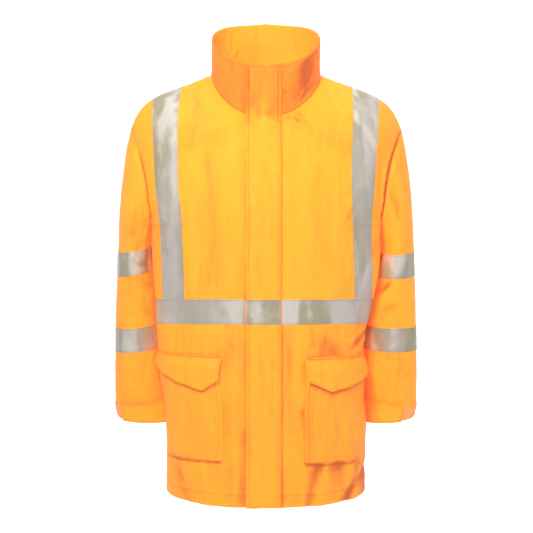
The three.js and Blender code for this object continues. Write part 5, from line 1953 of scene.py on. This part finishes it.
@dataclass
class Cuff:
    """The adjusting strap of a cuff, and the loop patch under its end."""

    sleeve: SleevePiece
    height: float = 36.0
    inner: float = 0.46
    slant_start: float = 0.185
    slant_length: float = 0.2

    def band(self, first: float, last: float, rise: float, height: float,
             lift: Callable[..., np.ndarray], slant: float = 0.0, drop: float = 0.0) -> Patch:
        """Lay a band round part of the cuff.

        Args:
            first: Where it starts, round the sleeve.
            last: Where it ends.
            rise: Millimetres from the cuff's edge.
            height: Millimetres tall.
            lift: Millimetres to its outside, from the column and the row.
            slant: Millimetres that it is taller towards the body.
            drop: Millimetres that its lower edge hangs.

        Returns:
            The grid.
        """
        base = self.sleeve.patch

        def point(t: np.ndarray, b: np.ndarray) -> np.ndarray:
            """Find points of the band.

            Args:
                t: Places round the sleeve.
                b: From its upper edge (0) to its lower edge (1).

            Returns:
                The points.
            """
            t, b = np.broadcast_arrays(t, b)
            tall = height + slant * grow(t - self.slant_start, self.slant_length)
            z = base.at(t, np.ones(t.shape))[0][..., 2] + rise + tall * (1 - b)
            out = base.lifted(t, base.row_at_height(t, z, 0.6, 1.0), lift(t, b))
            out[..., 2] -= drop * b
            return out

        return Patch(spread(70, first, last), spread(22), point, base.outward)

    def dress(self, shop: Workshop) -> None:
        """Make the loop patch, and the strap with its stitches.

        Args:
            shop: The finishes and the frame.
        """
        label = self.sleeve.side.label
        node, end = f"sleeve_{label}", 0.185 if self.sleeve.side is Side.LEFT else 0.13
        patch = self.band(-0.1, 0.27, 3, 28, lambda t, b: 1.3 + 0.1 * np.sin(t * 90) * np.sin(b * 9))
        shop.make(f"cuff_loop_{label}", LOOP_PILE, patch)

        def stand(t: np.ndarray, b: np.ndarray) -> np.ndarray:
            """Find how far the strap stands off, more at its free end."""
            free, waves = near((t - end) * 300, 16), np.sin(t * 37 + 2) * np.sin(b * 5)
            return 4.4 + 1.4 * free + 0.5 * waves + 0.5 * near((b - 0.06) * 40, 3)

        patch = self.band(end, self.inner, 1, self.height, stand, slant=12.0, drop=1.5)
        # Painted shade round the strap's rim and along its stitch row, and a painted lighter tone elsewhere
        # on it
        rim = np.minimum.reduce([patch.u, patch.v, patch.v[:, -1:] - patch.v])
        patch.cavity += 1.6 - 7 * near(rim, 1.3) - 3.6 * near(rim - 4, 1.2)
        first, edge = end + 0.012, 3 / self.height
        lines = [patch.lifted(spread(120, first, self.inner - 0.01), row) for row in (edge, 1 - edge)]
        lines.append(patch.lifted(first, spread(20, edge, 1 - edge)))
        shop.make(f"cuff_strap_{label}", STRAP_CLOTH, patch, lines, 17)


@dataclass(frozen=True)
class Lamp:
    """A soft square lamp that looks at the jacket; its place and width are in metres."""

    name: str
    place: tuple[float, float, float]
    size: float
    watts: float
    colour: tuple[float, float, float] = (1, 1, 1)
    aim: tuple[float, float, float] = (0, 0, -0.15)

    def hang(self) -> None:
        """Hang the lamp."""
        light = bpy.data.lights.new(self.name, "AREA")
        light.shape, light.size, light.energy, light.color = "SQUARE", self.size, self.watts, self.colour
        lamp = bpy.data.objects.new(self.name, light)
        lamp.location = self.place
        lamp.rotation_euler = (Vector(self.aim) - Vector(self.place)).to_track_quat("-Z", "Y").to_euler()
        bpy.context.scene.collection.objects.link(lamp)


@dataclass
class Studio:
    """The backdrop, the lights and the camera, in metres and degrees."""

    distance: float = 2.5
    height: float = -0.12
    pitch: float = 5.96
    lens: float = 81.05
    half_pixel: float = 0.5 / 533
    floor: float = -1.35
    sweep_front: float = -4.5
    sweep_back: float = 3.4
    sweep_radius: float = 1.6
    sweep_top: float = 4.5
    sweep_half_width: float = 9.0
    lamps: Sequence[Lamp] = (
        Lamp("key", (-0.45, -1.5, 0.85), 0.5, 28, (1, 0.985, 0.96)),
        Lamp("fill", (2.6, -1.2, 0.3), 1.0, 17, (1, 0.99, 0.98)),
        Lamp("top", (0.0, 0.5, 2.2), 1.2, 25),
        Lamp("back", (0.8, 2.6, 1.2), 2.0, 28),
    )

    def backdrop(self) -> None:
        """Make a plain sweep of pale paper."""
        radius, wide = self.sweep_radius, self.sweep_half_width
        bend = [(self.sweep_back + radius * math.sin(a), self.floor + radius * (1 - math.cos(a)))
                for a in np.radians(spread(16, 0, 90))]
        profile = [(self.sweep_front, self.floor), *bend, (self.sweep_back + radius, self.sweep_top)]
        n = len(profile)
        mesh = bpy.data.meshes.new("backdrop")
        mesh.from_pydata([(x, y, z) for x in (-wide, wide) for y, z in profile], [],
                         [(k, k + n, k + n + 1, k + 1) for k in range(n - 1)])
        mesh.shade_smooth()
        sweep = bpy.data.objects.new("backdrop", mesh)
        bpy.context.scene.collection.objects.link(sweep)
        tree = Tree("paper")
        place = tree.node("ShaderNodeTexCoord", output="Object")
        depth = tree.node("ShaderNodeSeparateXYZ", {}, {0: place}, 1)
        glow = tree.blend(depth.ramp(0.5, 1.15), (0, 0, 0, 1), (1, 1, 1, 1))
        inputs = {"Base Color": (0.9, 0.9, 0.9, 1), "Roughness": 0.9, "Emission Color": glow,
                  "Emission Strength": 0.85}
        mesh.materials.append(tree.close(inputs, tree.noise(place, 300.0, 2), 0.0002))

    def set_up(self) -> None:
        """Make the room and point the camera."""
        self.backdrop()
        for lamp in self.lamps:
            lamp.hang()
        scene, world = bpy.context.scene, bpy.data.worlds.new("studio")
        world.use_nodes = True
        sky = world.node_tree.nodes["Background"]
        sky.inputs["Color"].default_value = (1, 1, 1, 1)
        sky.inputs["Strength"].default_value = 0.15
        scene.view_settings.view_transform = "Standard"
        scene.world = world
        camera = bpy.data.cameras.new("camera")
        camera.lens, camera.sensor_width, camera.shift_x = self.lens, 36, self.half_pixel
        holder = bpy.data.objects.new("camera", camera)
        holder.location = (0, -self.distance, self.height)
        holder.rotation_euler = (math.radians(90 - self.pitch), 0, 0)
        scene.collection.objects.link(holder)
        scene.camera = holder


def main() -> None:
    """Build the jacket piece by piece."""
    logging.basicConfig(level=logging.INFO, format="%(name)s %(message)s")
    shop = Workshop()
    panels = {p.node: p for p in (Panel(face, side) for face in (-1, 1) for side in Side)}
    sleeves = {f"sleeve_{side.label}": SleevePiece(side) for side in Side}
    collar = CollarPiece()
    for piece in (*panels.values(), *sleeves.values(), collar):
        piece.dress(shop)
    front = Front(panels["front_left"].patch, panels["front_right"].patch, collar.patch)
    Closure(front).dress(shop)
    Tapes(panels, sleeves).dress(shop)
    left = Pocket(panels["front_left"], inner=78, flap_inner=78, tip_x=126, flap_top=-547,
                  flap_low=(-596, -616, -588), bottom=-762, droop=17)
    right = Pocket(panels["front_right"], inner=94, flap_inner=88, tip_x=122, flap_top=-543,
                   flap_low=(-593, -613, -570), bottom=-758, droop=10)
    for part in (left, right, *(Cuff(sleeve) for sleeve in sleeves.values())):
        part.dress(shop)
    Studio().set_up()


if __name__ == "__main__":
    main()
